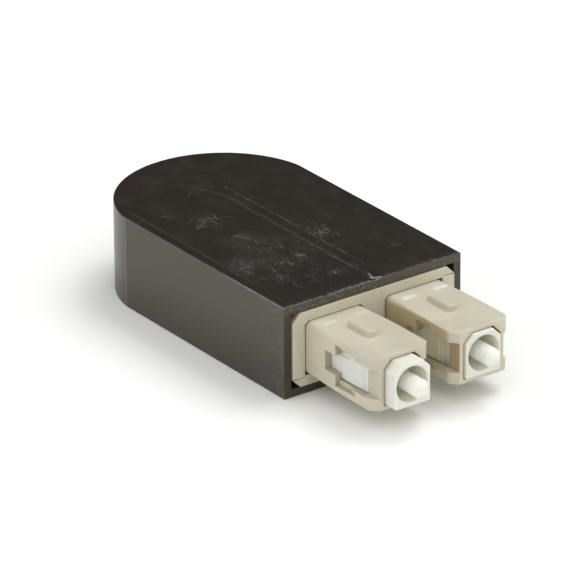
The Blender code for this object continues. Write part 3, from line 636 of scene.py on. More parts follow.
def beige_material(name, tone, marks_at=None, seed=0.0):
    """Satin moulded plastic; tone is its body colour."""
    m = Mat(name, rough=0.42, IOR=1.49)
    m.p.inputs["Subsurface Weight"].default_value = 0.22
    m.p.inputs["Subsurface Scale"].default_value = 1.0
    m.p.inputs["Subsurface Radius"].default_value = (0.00075, 0.00045, 0.00018)
    off = (seed, seed * 0.7, seed * 1.3)
    slow = m.noise(0.22, 3.0, 0.5, m.scaled(1, 1, 1, 0.0, off))
    fine = m.noise(2.6, 4.0, 0.6, m.scaled(1, 1, 1, 0.0, off))
    dark = tuple(v * 0.93 for v in tone)
    light = tuple(min(1.0, v * 1.05) for v in tone)
    c = m.mix(m.step(slow, 0.3, 0.7), dark, light)
    c = m.mix(m.mul(m.step(fine, 0.35, 0.75), 0.25), c, tuple(v * 0.96 for v in tone))
    flow = m.step(m.noise(0.8, 3.0, 0.55, m.scaled(1.6, 0.14, 1.6, 0.0, off)), 0.50, 0.78)
    c = m.mix(m.mul(flow, 0.12), c, tuple(min(1.0, v * 1.10) for v in tone))
    dirt = m.mul(m.specks(0.9, 0.05, 0.10, off), 0.55)
    c = m.mix(dirt, c, tuple(v * 0.45 for v in tone))
    scuff = m.mul(m.hairs(0.8, 0.006, 0.7 + seed, 2.5, 2.0, off), m.step(m.noise(0.45, 2.0, 0.5), 0.50, 0.66))
    c = m.mix(m.mul(scuff, 0.16), c, tuple(min(1.0, v * 1.22) for v in tone))
    geo = m.node("ShaderNodeNewGeometry")
    # lighter along convex edges, partly wear and partly a painted highlight; painted shade darkens hollows and creases
    edge = m.step(geo.outputs["Pointiness"], 0.52, 0.62)
    crevice_shade = m.step(geo.outputs["Pointiness"], 0.44, 0.36)
    c = m.mix(m.mul(edge, 0.30), c, tuple(min(1.0, v * 1.16) for v in tone))
    c = m.mix(m.mul(crevice_shade, 0.30), c, (tone[0] * 0.62, tone[1] * 0.54, tone[2] * 0.40))
    pads = None
    if marks_at is None:
        # painted shade: walls that only face a narrow gap are painted dark brown
        c = m.mix(m.mul(m.step(m.y, -0.22, -0.12), 0.80), c, (tone[0] * 0.62, tone[1] * 0.44, tone[2] * 0.22))
    else:
        # two pale patches on top, each side of the key, a little glossier and raised
        cx = marks_at
        top = m.step(m.nz, 0.8, 0.95)
        for s in (-1, 1):
            dx = m.near(m.x, cx + (2.75 if s > 0 else -2.2), 0.80, 0.50)
            dy = m.near(m.y, -2.25, 0.22, 0.42)
            one = m.mul(dx, dy, top, 0.85 if cx > 0 else (0.60 if s < 0 else 0.42))
            pads = one if pads is None else m.f("MAXIMUM", pads, one)
        c = m.mix(m.mul(pads, m.step(fine, 0.25, 0.6, 0.45, 0.95)), c,
                  (min(1, tone[0] * 1.34), min(1, tone[1] * 1.40), min(1, tone[2] * 1.66)))
        # painted light: the walls of the mouth are painted a warm golden tan, standing in for light bounced round in
        # the gap
        ax = m.f("ABSOLUTE", m.f("SUBTRACT", m.x, cx))
        rz = m.f("SUBTRACT", m.z, AXIS_Z)
        mouth_glow = m.mul(m.step(ax, 3.42, 3.30), m.step(m.y, -14.346, -14.335), m.step(m.f("ABSOLUTE", rz), 3.35, 3.24))
        c = m.mix(m.mul(mouth_glow, 0.90), c, (tone[0] * 0.86, tone[1] * 0.58, tone[2] * 0.27))
        # painted shade: the upward ledges of the side windows, shaded by the wall above, are painted darker
        ledge_shade = m.mul(m.step(m.nz, 0.55, 0.80), m.step(ax, 3.45, 3.52), m.step(rz, -1.1, -1.3),
                      m.step(m.y, -12.35, -12.15), m.step(m.y, -4.1, -4.4))
        c = m.mix(m.mul(ledge_shade, 0.55), c, (tone[0] * 0.62, tone[1] * 0.54, tone[2] * 0.40))
        # painted shade: the end walls of the outer channels are painted darker
        end_wall_shade = m.mul(m.step(m.ny, -0.6, -0.85), m.step(ax, 3.45, 3.52), m.step(m.y, -6.55, -6.45), m.step(ax, 4.46, 4.40))
        c = m.mix(m.mul(end_wall_shade, 0.55), c, (tone[0] * 0.58, tone[1] * 0.48, tone[2] * 0.32))
        # painted shade: the part that stands inside the clip is painted dark brown
        c = m.mix(m.mul(m.step(m.y, -0.30, -0.12), 0.70), c, (tone[0] * 0.66, tone[1] * 0.48, tone[2] * 0.26))
        if cx > 0:
            # painted shade: the side that faces its neighbour across the narrow slot is painted a darker, warmer brown
            slot_shade = m.mul(m.step(m.f("SUBTRACT", m.x, cx), -3.2, -4.0), m.step(m.nz, 0.9, 0.3), m.step(m.y, -13.5, -12.4), m.step(rz, -2.7, -1.8, 0.35, 1.0))
            c = m.mix(m.mul(slot_shade, 0.75), c, (tone[0] * 0.84, tone[1] * 0.67, tone[2] * 0.42))
            # painted shade: the post beside the slot is painted darker still
            post_shade = m.mul(m.step(ax, 3.60, 3.54), m.step(m.nx, -0.5, -0.8), m.step(m.y, -12.1, -12.2), m.step(m.f("ABSOLUTE", rz), 2.35, 2.25))
            c = m.mix(m.mul(post_shade, 0.85), c, (tone[0] * 0.72, tone[1] * 0.55, tone[2] * 0.36))
            # the painted shade on the slot side is blotched a deeper brown in patches
            c = m.mix(m.mul(slot_shade, m.step(m.noise(0.7, 3.0, 0.6, m.scaled(1, 1, 1, 0, (5, 1, 2))), 0.55, 0.72), 0.35), c,
                      (tone[0] * 0.62, tone[1] * 0.40, tone[2] * 0.16))
    m.colour(c)
    r = m.add(0.40, m.mul(fine, 0.12), m.mul(scuff, 0.10))
    if pads is not None:
        r = m.f("SUBTRACT", r, m.mul(pads, 0.06))
    m.rough(r)
    h = m.add(m.mul(m.noise(7.0, 3.0, 0.6), 0.45), m.mul(m.noise(0.9, 2.0, 0.5), 0.9), m.mul(scuff, -0.5))
    if pads is not None:
        h = m.add(h, m.mul(pads, 0.5))
    m.bump(h, 0.12, 0.00005)
    return m.m


def white_material(name, tone, seed=0.0, reach=0.0016, warm=None, depth=0.5):
    m = Mat(name, rough=0.38, IOR=1.49)
    m.p.inputs["Subsurface Weight"].default_value = depth
    m.p.inputs["Subsurface Scale"].default_value = 1.0
    m.p.inputs["Subsurface Radius"].default_value = (reach, reach * 0.82, reach * 0.5)
    off = (seed, seed, seed)
    slow = m.noise(0.3, 3.0, 0.5, m.scaled(1, 1, 1, 0, off))
    fine = m.noise(3.0, 4.0, 0.6, m.scaled(1, 1, 1, 0, off))
    c = m.mix(m.step(slow, 0.3, 0.7), tuple(v * 0.965 for v in tone), tone)
    draw = m.step(m.noise(1.4, 3.0, 0.5, m.scaled(2.0, 0.2, 2.0, 0, off)), 0.5, 0.8)
    c = m.mix(m.mul(draw, 0.10), c, tuple(v * 0.90 for v in tone))
    dirt = m.mul(m.specks(1.1, 0.045, 0.08, off), 0.45)
    c = m.mix(dirt, c, (tone[0] * 0.55, tone[1] * 0.50, tone[2] * 0.40))
    geo = m.node("ShaderNodeNewGeometry")
    # painted shade: hollows and creases are painted darker
    crevice_shade = m.step(geo.outputs["Pointiness"], 0.44, 0.34)
    c = m.mix(m.mul(crevice_shade, 0.18), c, (tone[0] * 0.80, tone[1] * 0.75, tone[2] * 0.60))
    if warm is not None:
        # painted shade: the flank that faces the other sleeve is painted a darker, warmer yellow, with a few rust-brown
        # spots
        flank_shade = m.mul(m.step(m.f("SUBTRACT", m.x, warm), -2.95, -3.25), m.step(m.y, -14.0, -12.6))
        c = m.mix(m.mul(flank_shade, 0.85), c, (tone[0] * 0.80, tone[1] * 0.74, tone[2] * 0.55))
        spots = m.step(m.noise(0.8, 3.0, 0.6, m.scaled(1, 1, 1, 0, (3, 8, 1))), 0.58, 0.70)
        c = m.mix(m.mul(flank_shade, spots, 0.55), c, (tone[0] * 0.66, tone[1] * 0.42, tone[2] * 0.16))
    m.colour(c)
    m.rough(m.add(0.34, m.mul(fine, 0.12)))
    m.bump(m.add(m.mul(m.noise(8.0, 3.0, 0.6), 0.4), m.mul(m.noise(1.1, 2.0, 0.5), 0.8)), 0.10, 0.00004)
    return m.m


def ceramic_material():
    m = Mat("zirconia_ferrule", rough=0.14, IOR=2.0)
    m.p.inputs["Subsurface Weight"].default_value = 0.30
    m.p.inputs["Subsurface Scale"].default_value = 1.0
    m.p.inputs["Subsurface Radius"].default_value = (0.0009, 0.0008, 0.0006)
    n = m.noise(1.2, 3.0, 0.5)
    c = m.mix(m.step(n, 0.3, 0.7), (0.72, 0.715, 0.655), (0.77, 0.765, 0.71))
    rings = m.noise(9.0, 2.0, 0.5, m.scaled(0.15, 1.0, 0.15))
    c = m.mix(m.mul(m.step(rings, 0.5, 0.8), 0.06), c, (0.66, 0.65, 0.60))
    m.colour(c)
    m.rough(m.add(0.12, m.mul(m.noise(4.0, 3.0, 0.6), 0.10)))
    m.bump(m.mul(rings, 0.6), 0.05, 0.00002)
    return m.m


def metal_material(name, tone, rough, turned_marks=True, seed=0.0):
    m = Mat(name, rough=rough, metallic=1.0)
    off = (seed, seed, seed)
    marks = m.noise(12.0, 3.0, 0.6, m.scaled(0.10, 1.0, 0.10, 0, off)) if turned_marks else m.noise(5.0, 4.0, 0.6, m.scaled(1, 1, 1, 0, off))
    tarnish = m.noise(0.8, 4.0, 0.6, m.scaled(1, 1, 1, 0, off))
    c = m.mix(m.step(tarnish, 0.35, 0.75), tone, tuple(v * 0.82 for v in tone))
    c = m.mix(m.mul(m.step(marks, 0.5, 0.8), 0.25), c, tuple(min(1.0, v * 1.12) for v in tone))
    m.colour(c)
    m.rough(m.add(rough - 0.06, m.mul(marks, 0.14), m.mul(tarnish, 0.10)))
    m.bump(marks, 0.18, 0.00003)
    return m.m


def rubber_material():
    m = Mat("boot_soft_beige", rough=0.62, IOR=1.45)
    m.p.inputs["Sheen Weight"].default_value = 0.15
    n = m.noise(1.0, 4.0, 0.6)
    g = m.noise(9.0, 4.0, 0.65)
    c = m.mix(m.step(n, 0.3, 0.7), (0.50, 0.48, 0.385), (0.58, 0.56, 0.455))
    c = m.mix(m.mul(m.step(g, 0.5, 0.8), 0.25), c, (0.44, 0.42, 0.33))
    m.colour(c)
    m.rough(m.add(0.54, m.mul(g, 0.18)))
    m.bump(m.add(g, m.mul(n, 0.5)), 0.25, 0.00004)
    return m.m


def fibre_material():
    m = Mat("fibre_buffer_orange", rough=0.48, IOR=1.45)
    n = m.noise(0.7, 3.0, 0.5)
    g = m.noise(7.0, 3.0, 0.6)
    c = m.mix(m.step(n, 0.3, 0.7), (0.74, 0.27, 0.055), (0.82, 0.34, 0.085))
    c = m.mix(m.mul(m.step(g, 0.5, 0.8), 0.2), c, (0.86, 0.42, 0.14))
    m.colour(c)
    m.rough(m.add(0.42, m.mul(g, 0.14)))
    m.bump(g, 0.12, 0.00002)
    return m.m


def tube_material():
    m = Mat("guide_tube_clear", rough=0.16, IOR=1.46)
    m.p.inputs["Transmission Weight"].default_value = 0.75
    n = m.noise(2.0, 3.0, 0.5, m.scaled(1.0, 0.2, 1.0))
    m.colour(m.mix(m.step(n, 0.3, 0.7), (0.90, 0.92, 0.93), (0.97, 0.97, 0.96)))
    m.rough(m.add(0.12, m.mul(n, 0.10)))
    m.bump(n, 0.10, 0.00002)
    return m.m


SHELL_M = shell_material()
CLIP_M = beige_material("clip_moulded_beige", (0.518, 0.489, 0.382), seed=3.1)
SLEEVE_M = {"left": beige_material("sleeve_moulded_beige_left", (0.518, 0.489, 0.382), AXIS_X["left"], 1.7),
            "right": beige_material("sleeve_moulded_beige_right", (0.518, 0.489, 0.382), AXIS_X["right"], 6.3)}
PLUG_M = {"left": white_material("plug_moulded_white_left", (0.69, 0.695, 0.645), 2.2),
          "right": white_material("plug_moulded_white_right", (0.68, 0.68, 0.63), 7.4, warm=AXIS_X["right"])}
# painted light: the bore is painted a brighter, warmer white than the plug, for light bounced round inside it
BORE_PAINTED_M = white_material("plug_bore_painted_light", (0.96, 0.935, 0.79), 5.0, 0.0006, depth=0.15)
FERRULE_M = ceramic_material()
FLANGE_M = metal_material("flange_nickel_plate", (0.74, 0.71, 0.65), 0.26, seed=1.0)
STOP_M = metal_material("stop_nickel_plate", (0.72, 0.69, 0.61), 0.30, seed=4.0)
CRIMP_M = metal_material("crimp_plain_aluminium", (0.80, 0.80, 0.81), 0.34, seed=7.0)
SPRING_M = metal_material("spring_drawn_steel", (0.62, 0.61, 0.60), 0.28, False, seed=9.0)
BOOT_M = rubber_material()
FIBRE_M = fibre_material()
TUBE_M = tube_material()


# ------------------------------------------------------------------ shell
def make_shell():
    half = SHELL_W / 2
    radius = (half ** 2 + SAGITTA ** 2) / (2 * SAGITTA)
    cy = STRAIGHT + SAGITTA - radius

    def outline(inset, front, n_arc=96, n_front=1):
        x_in, r_in = half - inset, radius - inset
        a0 = math.asin(x_in / r_in)
        ys = cy + r_in * math.cos(a0)
        pts = [(x_in, front)]
        pts += [(x_in, front + (ys - front) * k / 6) for k in range(1, 6)]
        for k in range(n_arc + 1):
            a = a0 - 2 * a0 * k / n_arc
            pts.append((r_in * math.sin(a), cy + r_in * math.cos(a)))
        pts += [(-x_in, ys + (front - ys) * k / 6) for k in range(1, 6)]
        pts.append((-x_in, front))
        for k in range(1, n_front):
            pts.append((-x_in + 2 * x_in * k / n_front, front))
        return pts

    e = 0.15
    n_front = 120
    rings = []
    fillet = [(math.radians(a)) for a in (0, 22.5, 45, 67.5, 90)]
    for a in reversed(fillet):
        rings.append([(x, y, e - e * math.sin(a)) for x, y in
                      outline(e - e * math.cos(a), 0.35 * (e - e * math.cos(a)), n_front=n_front)])
    for z in (3.2, 6.4, 9.6):
        rings.append([(x, y, z) for x, y in outline(0.0, 0.0, n_front=n_front)])
    for a in fillet:
        rings.append([(x, y, SHELL_H - e + e * math.sin(a)) for x, y in
                      outline(e - e * math.cos(a), 0.45 * (e - e * math.cos(a)), n_front=n_front)])
    # the sawn front edge of the top is uneven and chipped
    top_from = len(rings) - len(fillet)
    rings.append([(x, y, SHELL_H) for x, y in outline(e + 0.35, 1.05, n_front=n_front)])
    rings.insert(0, [(x, y, 0.0) for x, y in outline(e + 0.35, 0.55, n_front=n_front)])
    top_from += 1
    for i in range(top_from, top_from + len(fillet)):
        level = (i - top_from) / (len(fillet) - 1)
        for j, (x, y, z) in enumerate(rings[i]):
            if y < 0.2 and abs(x) < half - 0.8:
                amount = 1.0 if x < 1.5 else 0.35
                n1 = noise.noise(Vector((x * 2.1, 3.0, level * 0.7)))
                n2 = noise.noise(Vector((x * 6.0, 7.0, level * 1.5)))
                push = amount * level * (0.12 + 0.22 * n1 + 0.16 * n2)
                nick = math.exp(-((x - 0.35) / 0.34) ** 2) * 0.55 * level
                y2 = y + max(0.0, push) + nick
                z2 = z - amount * level * 0.04 * abs(n2) - nick * 0.22
                rings[i][j] = (x, y2, z2)
    body = loft(rings)

    wall, floor = 1.10, 1.15
    rings = []
    r2 = 0.25
    for z, inset in ((floor, r2), (floor + 0.07, 0.07), (floor + r2, 0.0),
                     (SHELL_H - floor - r2, 0.0), (SHELL_H - floor - 0.07, 0.07), (SHELL_H - floor, r2)):
        pts = []
        x_in, r_in = half - wall - inset * 0.6, radius - wall - inset * 0.6
        a0 = math.asin(x_in / r_in)
        pts.append((x_in, -3.0))
        for k in range(65):
            a = a0 - 2 * a0 * k / 64
            pts.append((r_in * math.sin(a), cy + r_in * math.cos(a)))
        pts.append((-x_in, -3.0))
        rings.append([(x, y, z) for x, y in pts])
    hollow = loft(rings)
    bm = carve(body, [("DIFFERENCE", hollow)])
    return piece("shell_cap", bm, SHELL_M, "housing", ("housing_shell",), angle=24.0)


make_shell()


# ------------------------------------------------------------------ duplex clip
def make_clip():
    w, h, c = 12.9, 5.15, 1.20
    ww, wh, wc = 9.26 / 2, 7.56 / 2, 0.50
    g, s, px = 0.002, 3.95, AXIS_X["right"]
    pts = [
        (w, s + g), (w, h - c), (w - c, h), (-w + c, h), (-w, h - c),
        (-w, -s + g), (-px - ww, -s + g), (-px - ww, wh - wc), (-px - ww + wc, wh),
        (-px + ww - wc, wh), (-px + ww, wh - wc),
        (-px + ww, g), (px - ww, g),
        (px - ww, wh - wc), (px - ww + wc, wh),
        (px + ww - 2 * g, wh), (px + ww - 2 * g, s + g),
    ]
    for name, flip in (("clip_upper", 1), ("clip_lower", -1)):
        poly = [(flip * x, AXIS_Z + flip * z) for x, z in pts]
        bm = soft_prism(poly, 0.05, -0.27, 9.60, 0.05, 0.05, lambda x, z, y: (x, y, z))
        node = "clip_half_upper" if flip > 0 else "clip_half_lower"
        piece(name, bm, CLIP_M, "housing", (node,))


make_clip()


# ------------------------------------------------------------------ grip sleeves
def make_sleeve(side):
    cx, cz = AXIS_X[side], AXIS_Z
    w, h = 4.5, 3.7
    front, back = -14.35, 10.80

    def ring(y, r, left=w, right=w, inset=0.0):
        """Rounded rectangle whose two sides may be pulled in separately."""
        width = left + right - 2 * inset
        mid = (right - left) / 2
        return [(cx + mid + x, y, cz + z) for x, z in rounded(width, 2 * (h - inset), max(0.05, r - inset * 0.5), 7)]

    rings = [ring(back, 0.90, inset=0.10), ring(back - 0.04, 0.90, inset=0.03), ring(back - 0.12, 0.90)]
    rings += [ring(y, r) for y, r in ((2.0, 0.90), (0.0, 0.90), (-1.2, 0.84), (-2.4, 0.72), (-3.6, 0.57), (-4.8, 0.44),
                                     (-6.0, 0.34), (-7.2, 0.28), (-8.6, 0.25), (-10.5, 0.24), (-12.4, 0.24))]
    # the two upright front corners, each a chamfer with eased ends
    def pull(y, cut_x, cut_y):
        t = (front + cut_y - y) / cut_y
        if t <= -0.22:
            return 0.0
        if t < 0.22:
            return cut_x * (t + 0.22) ** 2 / 0.88
        return cut_x * t
    for y in (-12.9, -13.05, -13.2, -13.3, -13.4, -13.5, -13.6, -13.7, -13.8, -13.95, -14.1, -14.2, front + 0.10):
        rings.append(ring(y, 0.22, w - pull(y, 0.98, 1.05), w - pull(y, 0.74, 0.78)))
    for y, inset in ((front + 0.05, 0.012), (front + 0.015, 0.045), (front, 0.095)):
        rings.append(ring(y, 0.22, w - pull(y, 0.98, 1.05), w - pull(y, 0.74, 0.78), inset))
    body = loft(rings)

    ops = []
    # key: a low rib with a round nose and softened top edges
    kw, n = 1.62 / 2, 14
    plan = [(-0.1 + kw, -4.25), (-0.1 - kw, -4.25)]
    for k in range(n + 1):
        a = math.radians(180 + 180 * k / n)
        plan.append((-0.1 + kw * math.cos(a), -8.85 + 0.78 + 0.78 * math.sin(a)))
    rows = []
    for z, inset in ((h - 0.6, 0.0), (h + 0.02, -0.06), (h + 0.07, -0.01), (h + 0.14, 0.0), (h + 0.60, 0.0), (h + 0.70, 0.022), (h + 0.765, 0.075), (h + 0.80, 0.17)):
        rows.append([(cx + x, y, cz + z) for x, y in shrink(plan, inset)])
    ops.append(("UNION", loft(rows)))
    # mouth with an eased rim, then the cavity behind it
    if side == "left":
        mouth = [(2.92, -3.10), (3.02, -3.00), (3.02, 2.08), (2.00, 3.10), (-1.74, 3.10), (-2.80, 2.06), (-2.80, -3.00), (-2.70, -3.10)]
        throat = [(2.84, -3.03), (2.91, -2.96), (2.91, 2.18), (1.98, 3.03), (-1.43, 3.03), (-2.655, 1.80), (-2.655, -2.96), (-2.58, -3.03)]
    else:
        mouth = [(2.92, -3.10), (3.02, -3.00), (3.02, 1.90), (1.82, 3.10), (-1.62, 3.10), (-2.88, 1.84), (-2.88, -3.00), (-2.78, -3.10)]
        throat = [(2.84, -3.03), (2.91, -2.96), (2.91, 1.98), (1.86, 3.03), (-1.55, 3.03), (-2.785, 1.80), (-2.785, -2.96), (-2.70, -3.03)]
    rows = []
    for y, grow in ((front - 1.0, 0.07), (front - 0.001, 0.07), (front + 0.02, 0.035), (front + 0.06, 0.0), (front + 0.16, 0.0)):
        rows.append([(cx + x, y, cz + z) for x, z in fillet(shrink(mouth, -grow), 0.08, 2)])
    ops.append(("DIFFERENCE", loft(rows)))
    ops.append(("DIFFERENCE", prism_y(fillet(throat, 0.06, 2), front - 0.5, -11.5, cx, cz)))
    cav = rounded(7.0, 6.2, 0.30, 4)
    ops.append(("DIFFERENCE", prism_y(cav, -12.20, back + 1.0, cx, cz)))
    # side windows
    for sgn in (-1, 1):
        left = sgn < 0
        # through window as a (y, z) outline, its outer rim eased
        win = [(-4.20, -1.33), (-4.20, 1.33), (-6.38, 1.33), (-6.38, 2.10), (-9.2, 2.10), (-10.6, 2.12), (-12.20, 2.12),
               (-12.20, -2.00), (-11.2, -2.02), (-9.2, -2.18), (-6.38, -2.18), (-6.38, -1.33)]
        rows = []
        for x, grow in ((w - 1.7, 0.0), (w - 0.10, 0.0), (w - 0.05, 0.015), (w - 0.015, 0.05), (w + 0.001, 0.09), (w + 1.0, 0.09)):
            rows.append([(cx + sgn * x, y, cz + z) for y, z in shrink(win, -grow)])
        ops.append(("DIFFERENCE", loft(rows)))
        # outer channel over the release rails; its floor ramps out to the surface
        rings = []
        for y, depth, zu, zd in ((-6.38, 0.70, 2.85, 2.85), (-8.2, 0.70, 2.85, 2.85), (-8.8, 0.69, 2.84, 2.84),
                                 (-9.1, 0.64, 2.82, 2.83), (-9.45, 0.53, 2.80, 2.82), (-9.8, 0.37, 2.66, 2.81),
                                 (-10.1, 0.24, 2.50, 2.80), (-10.35, 0.14, 2.36, 2.78), (-10.6, 0.07, 2.26, 2.76),
                                 (-10.9, 0.02, 2.20, 2.66), (-11.3, -0.05, 2.16, 2.40)):
            x0, x1, x2 = cx + sgn * (w - depth), cx + sgn * (w - min(depth, 0.05)), cx + sgn * (w + 0.005)
            x3, g = cx + sgn * (w + 1.0), 0.06
            rings.append([(x0, y, cz - zd), (x1, y, cz - zd), (x2, y, cz - zd - g), (x3, y, cz - zd - g),
                          (x3, y, cz + zu + g), (x2, y, cz + zu + g), (x1, y, cz + zu), (x0, y, cz + zu)])
        ops.append(("DIFFERENCE", loft(rings)))
        # set-back front post
        post_x = w - 1.0
        if left:
            out = [(-post_x, -2.00), (-w - 1, -2.08), (-w - 1, 2.18), (-post_x, 2.12)]
        else:
            out = [(post_x, -1.60), (post_x, 1.60), (w + 1, 1.60), (w + 1, -3.15), (w, -2.40)]
        ops.append(("DIFFERENCE", prism_y(out, front - 1.0, -12.15, cx, cz)))
    bm = carve(body, ops)
    return piece("sleeve_" + side, bm, SLEEVE_M[side], "housing", ("grip_sleeve_" + side,), angle=32.0)


for _s in ("left", "right"):
    make_sleeve(_s)


# ------------------------------------------------------------------ plug parts
def make_plug(side):
    cx, cz, p0 = AXIS_X[side], AXIS_Z, PLUG_FRONT[side]
    body_name, ferrule_body = "plug_" + side, "ferrule_" + side

    def along(x, z, p):
        return (cx + x, p0 + p, cz + z)

    def octagon(wl, wr, h, cu, cd):
        return [(wr - cd, -h), (wr, -h + cd), (wr, h - cu), (wr - cu, h), (-wl + cu, h), (-wl, h - cu), (-wl, -h + cd), (-wl + cd, -h)]

    wl, wr = (2.62, 2.85) if side == "left" else (2.75, 2.75)
    nose = soft_prism(octagon(wl, wr, 3.0, 1.22, 0.14), [0.05, 0.05, 0.16, 0.16, 0.16, 0.16, 0.05, 0.05],
                      0.0, 4.38, 0.09 if side == "left" else 0.15, 0.0, along)
    rear = soft_prism(octagon(3.25, 3.25, 2.975, 0.30, 0.30), 0.12, 4.30, 19.0, 0.10, 0.10, along)
    ops = [("UNION", rear)]
    for sgn in (-1, 1):
        def out(y, z, t, sgn=sgn):
            return (cx + sgn * t, p0 + y, cz + z)

        def pad(y0, y1, zz, top, corner=0.16, rim=0.07):
            return soft_prism([(y0, -zz), (y1, -zz), (y1, zz), (y0, zz)], corner, 2.9, top, 0.0, rim, out)
        ops.append(("UNION", pad(4.80, 12.10, 1.86, 3.36)))
        ops.append(("UNION", pad(11.20, 12.36, 2.00, 3.44)))
        ops.append(("UNION", pad(5.46, 11.12, 2.06, 3.47)))
        ops.append(("UNION", pad(4.62, 5.38, 2.06, 3.45, 0.10, 0.10)))
        # moulded notch in the pad's upper edge
        ops.append(("DIFFERENCE", soft_prism([(7.62, 2.6), (7.62, 1.98), (7.86, 1.56), (8.3, 1.26), (8.8, 1.12), (9.8, 1.06),
                                              (10.6, 1.16), (10.6, 2.6)], 0.06, 3.31, 3.9, 0.0, 0.0, out)))
        # shallow parting step down the pad
        ops.append(("DIFFERENCE", soft_prism([(10.02, -2.3), (10.12, -2.3), (10.12, 0.9), (10.02, 0.9)], 0.02, 3.445, 3.9, 0.0, 0.0, out)))
    r, f = 2.45, 0.07
    rim = [(r + f * (1 - math.sin(a)), p0 + f * (1 - math.cos(a))) for a in (0.0, 0.39, 0.785, 1.18, 1.5708)]
    bore = turned([(0, p0 - 1.0), (r + f, p0 - 1.0)] + rim + [
        (r, p0 + 5.0), (r - 0.1, p0 + 5.1), (1.50, p0 + 5.1), (1.50, p0 + 5.9), (2.40, p0 + 5.9), (2.40, p0 + 20.0), (0, p0 + 20.0)], 96, cx, cz)
    ops.append(("DIFFERENCE", bore))
    bm = carve(nose, ops)

    # faces of the bore take the bore material, whose brighter, warmer colour is painted light
    def which(f):
        c = f.calc_center_median()
        x, y, z = (c.x * 1000 - cx), (c.y - FRONT_Y) * 1000 - p0, c.z * 1000 - cz
        return 1 if math.hypot(x, z) < 2.53 and 0.03 < y < 5.3 else 0

    piece("plug_body_" + side, bm, [PLUG_M[side], BORE_PAINTED_M], body_name, ("plug_frame_" + side,), angle=32.0, face_mat=which)

    # spring stop with a knurled flange
    flange = []
    prof = [(1.0, 16.05), (2.12, 16.05), (2.30, 16.23), (2.30, 17.3), (2.18, 17.4), (2.18, 17.8), (2.30, 17.9),
            (2.30, 19.15), (2.72, 19.15), (2.90, 19.30), (2.90, 20.20), (2.72, 20.35), (1.70, 20.35), (1.70, 20.75)]
    for k in range(9):
        y = 20.95 + k * 0.42
        prof += [(1.70, y), (1.64, y + 0.10), (1.70, y + 0.20)]
    prof += [(1.70, 24.80), (1.50, 25.0), (1.06, 25.0), (1.0, 24.9), (1.0, 16.15)]
    bm = turned([(r, p0 + y) for r, y in prof], 72, cx, cz)
    piece("stop_" + side, bm, STOP_M, body_name, ("spring_stop_" + side,), angle=30, weighted=False)

    # crimp ring, pressed to a rounded hexagon over its middle
    seg = 72
    rows = []
    prof = [(1.80, 20.65, 0), (2.02, 20.65, 0), (2.10, 20.75, 0), (2.10, 21.55, 0), (2.09, 21.75, 0.6),
            (2.07, 21.95, 1), (2.07, 24.0, 1), (2.09, 24.2, 0.6), (2.10, 24.4, 0), (2.10, 25.1, 0), (2.02, 25.2, 0), (1.80, 25.2, 0)]
    for r, y, hexa in prof:
        row = []
        for k in range(seg):
            a = 2 * math.pi * k / seg
            s = (a % (math.pi / 3)) - math.pi / 6
            flat = 1.0 - hexa * 0.055 * (math.cos(s * 6) + 1) / 2
            rr = r * (flat if r > 1.9 else 1.0)
            row.append((cx + rr * math.cos(a), p0 + y, cz + rr * math.sin(a)))
        rows.append(row)
    bm = loft(rows, close=True)
    piece("crimp_" + side, bm, CRIMP_M, body_name, ("crimp_ring_" + side,), angle=30, weighted=False)

    # boot with grip ribs and flex slots
    prof = [(2.20, 20.85), (2.45, 20.85), (2.62, 20.95), (2.70, 21.1)]
    for k in range(4):
        y = 21.5 + k * 0.95
        prof += [(2.70, y), (2.50, y + 0.14), (2.50, y + 0.34), (2.70, y + 0.48)]
    prof += [(2.70, 25.5), (2.45, 25.9), (2.20, 26.1)]
    y, r = 26.3, 2.14
    for k in range(5):
        prof += [(r, y), (r - 0.30, y + 0.10), (r - 0.32, y + 0.42), (r - 0.03, y + 0.52)]
        y += 0.88
        r -= 0.17
    prof += [(1.30, 30.80), (1.15, 31.0), (0.75, 31.0), (0.75, 25.8), (2.20, 25.4)]
    bm = turned([(rr, p0 + yy) for rr, yy in prof], 72, cx, cz)
    piece("boot_" + side, bm, BOOT_M, body_name, ("strain_boot_" + side,), angle=40, weighted=False)

    # spring
    d, wire = 4.25, 0.42
    mean, wr, turns = (d - wire) / 2, wire / 2, 7.0
    y0, y1 = 8.45 + wr, 15.95 - wr
    steps = int(turns * 40)
    rows = []
    for i in range(steps + 1):
        t = i / steps
        ease = 0.5 - 0.5 * math.cos(math.pi * t)
        y = y0 + (y1 - y0) * (0.55 * t + 0.45 * ease)
        a = 2 * math.pi * turns * t
        rad = Vector((math.cos(a), 0, math.sin(a)))
        c = Vector((cx, p0 + y, cz)) + rad * mean
        rows.append([tuple(c + rad * (wr * math.cos(b)) + Vector((0, wr * math.sin(b), 0)))
                     for b in (2 * math.pi * k / 14 for k in range(14))])
    # the spring stays in the row frame, attached to no body
    piece("spring_" + side, loft(rows), SPRING_M, ferrule_body, ("ferrule_spring_" + side,), angle=60,
          weighted=False, across=(body_name, (cx, p0 + 8.45, cz), (cx, p0 + 15.95, cz)))

    # ferrule: polished domed tip, chamfer, straight body
    t = -2.40
    prof = [(0.0, t), (0.18, t + 0.0015), (0.36, t + 0.006), (0.52, t + 0.013), (0.60, t + 0.020), (0.66, t + 0.045),
            (0.72, t + 0.095), (1.12, t + 0.50), (1.20, t + 0.585), (1.235, t + 0.66), (1.25, t + 0.76),
            (1.25, t + 10.2), (1.18, t + 10.4), (1.0, t + 10.5), (0.30, t + 10.5), (0.30, t + 9.3), (0.0, t + 8.9)]
    bm = turned([(r, p0 + y) for r, y in prof], 96, cx, cz)
    piece("ferrule_tip_" + side, bm, FERRULE_M, ferrule_body, ("ferrule_" + side,), angle=30, weighted=False)

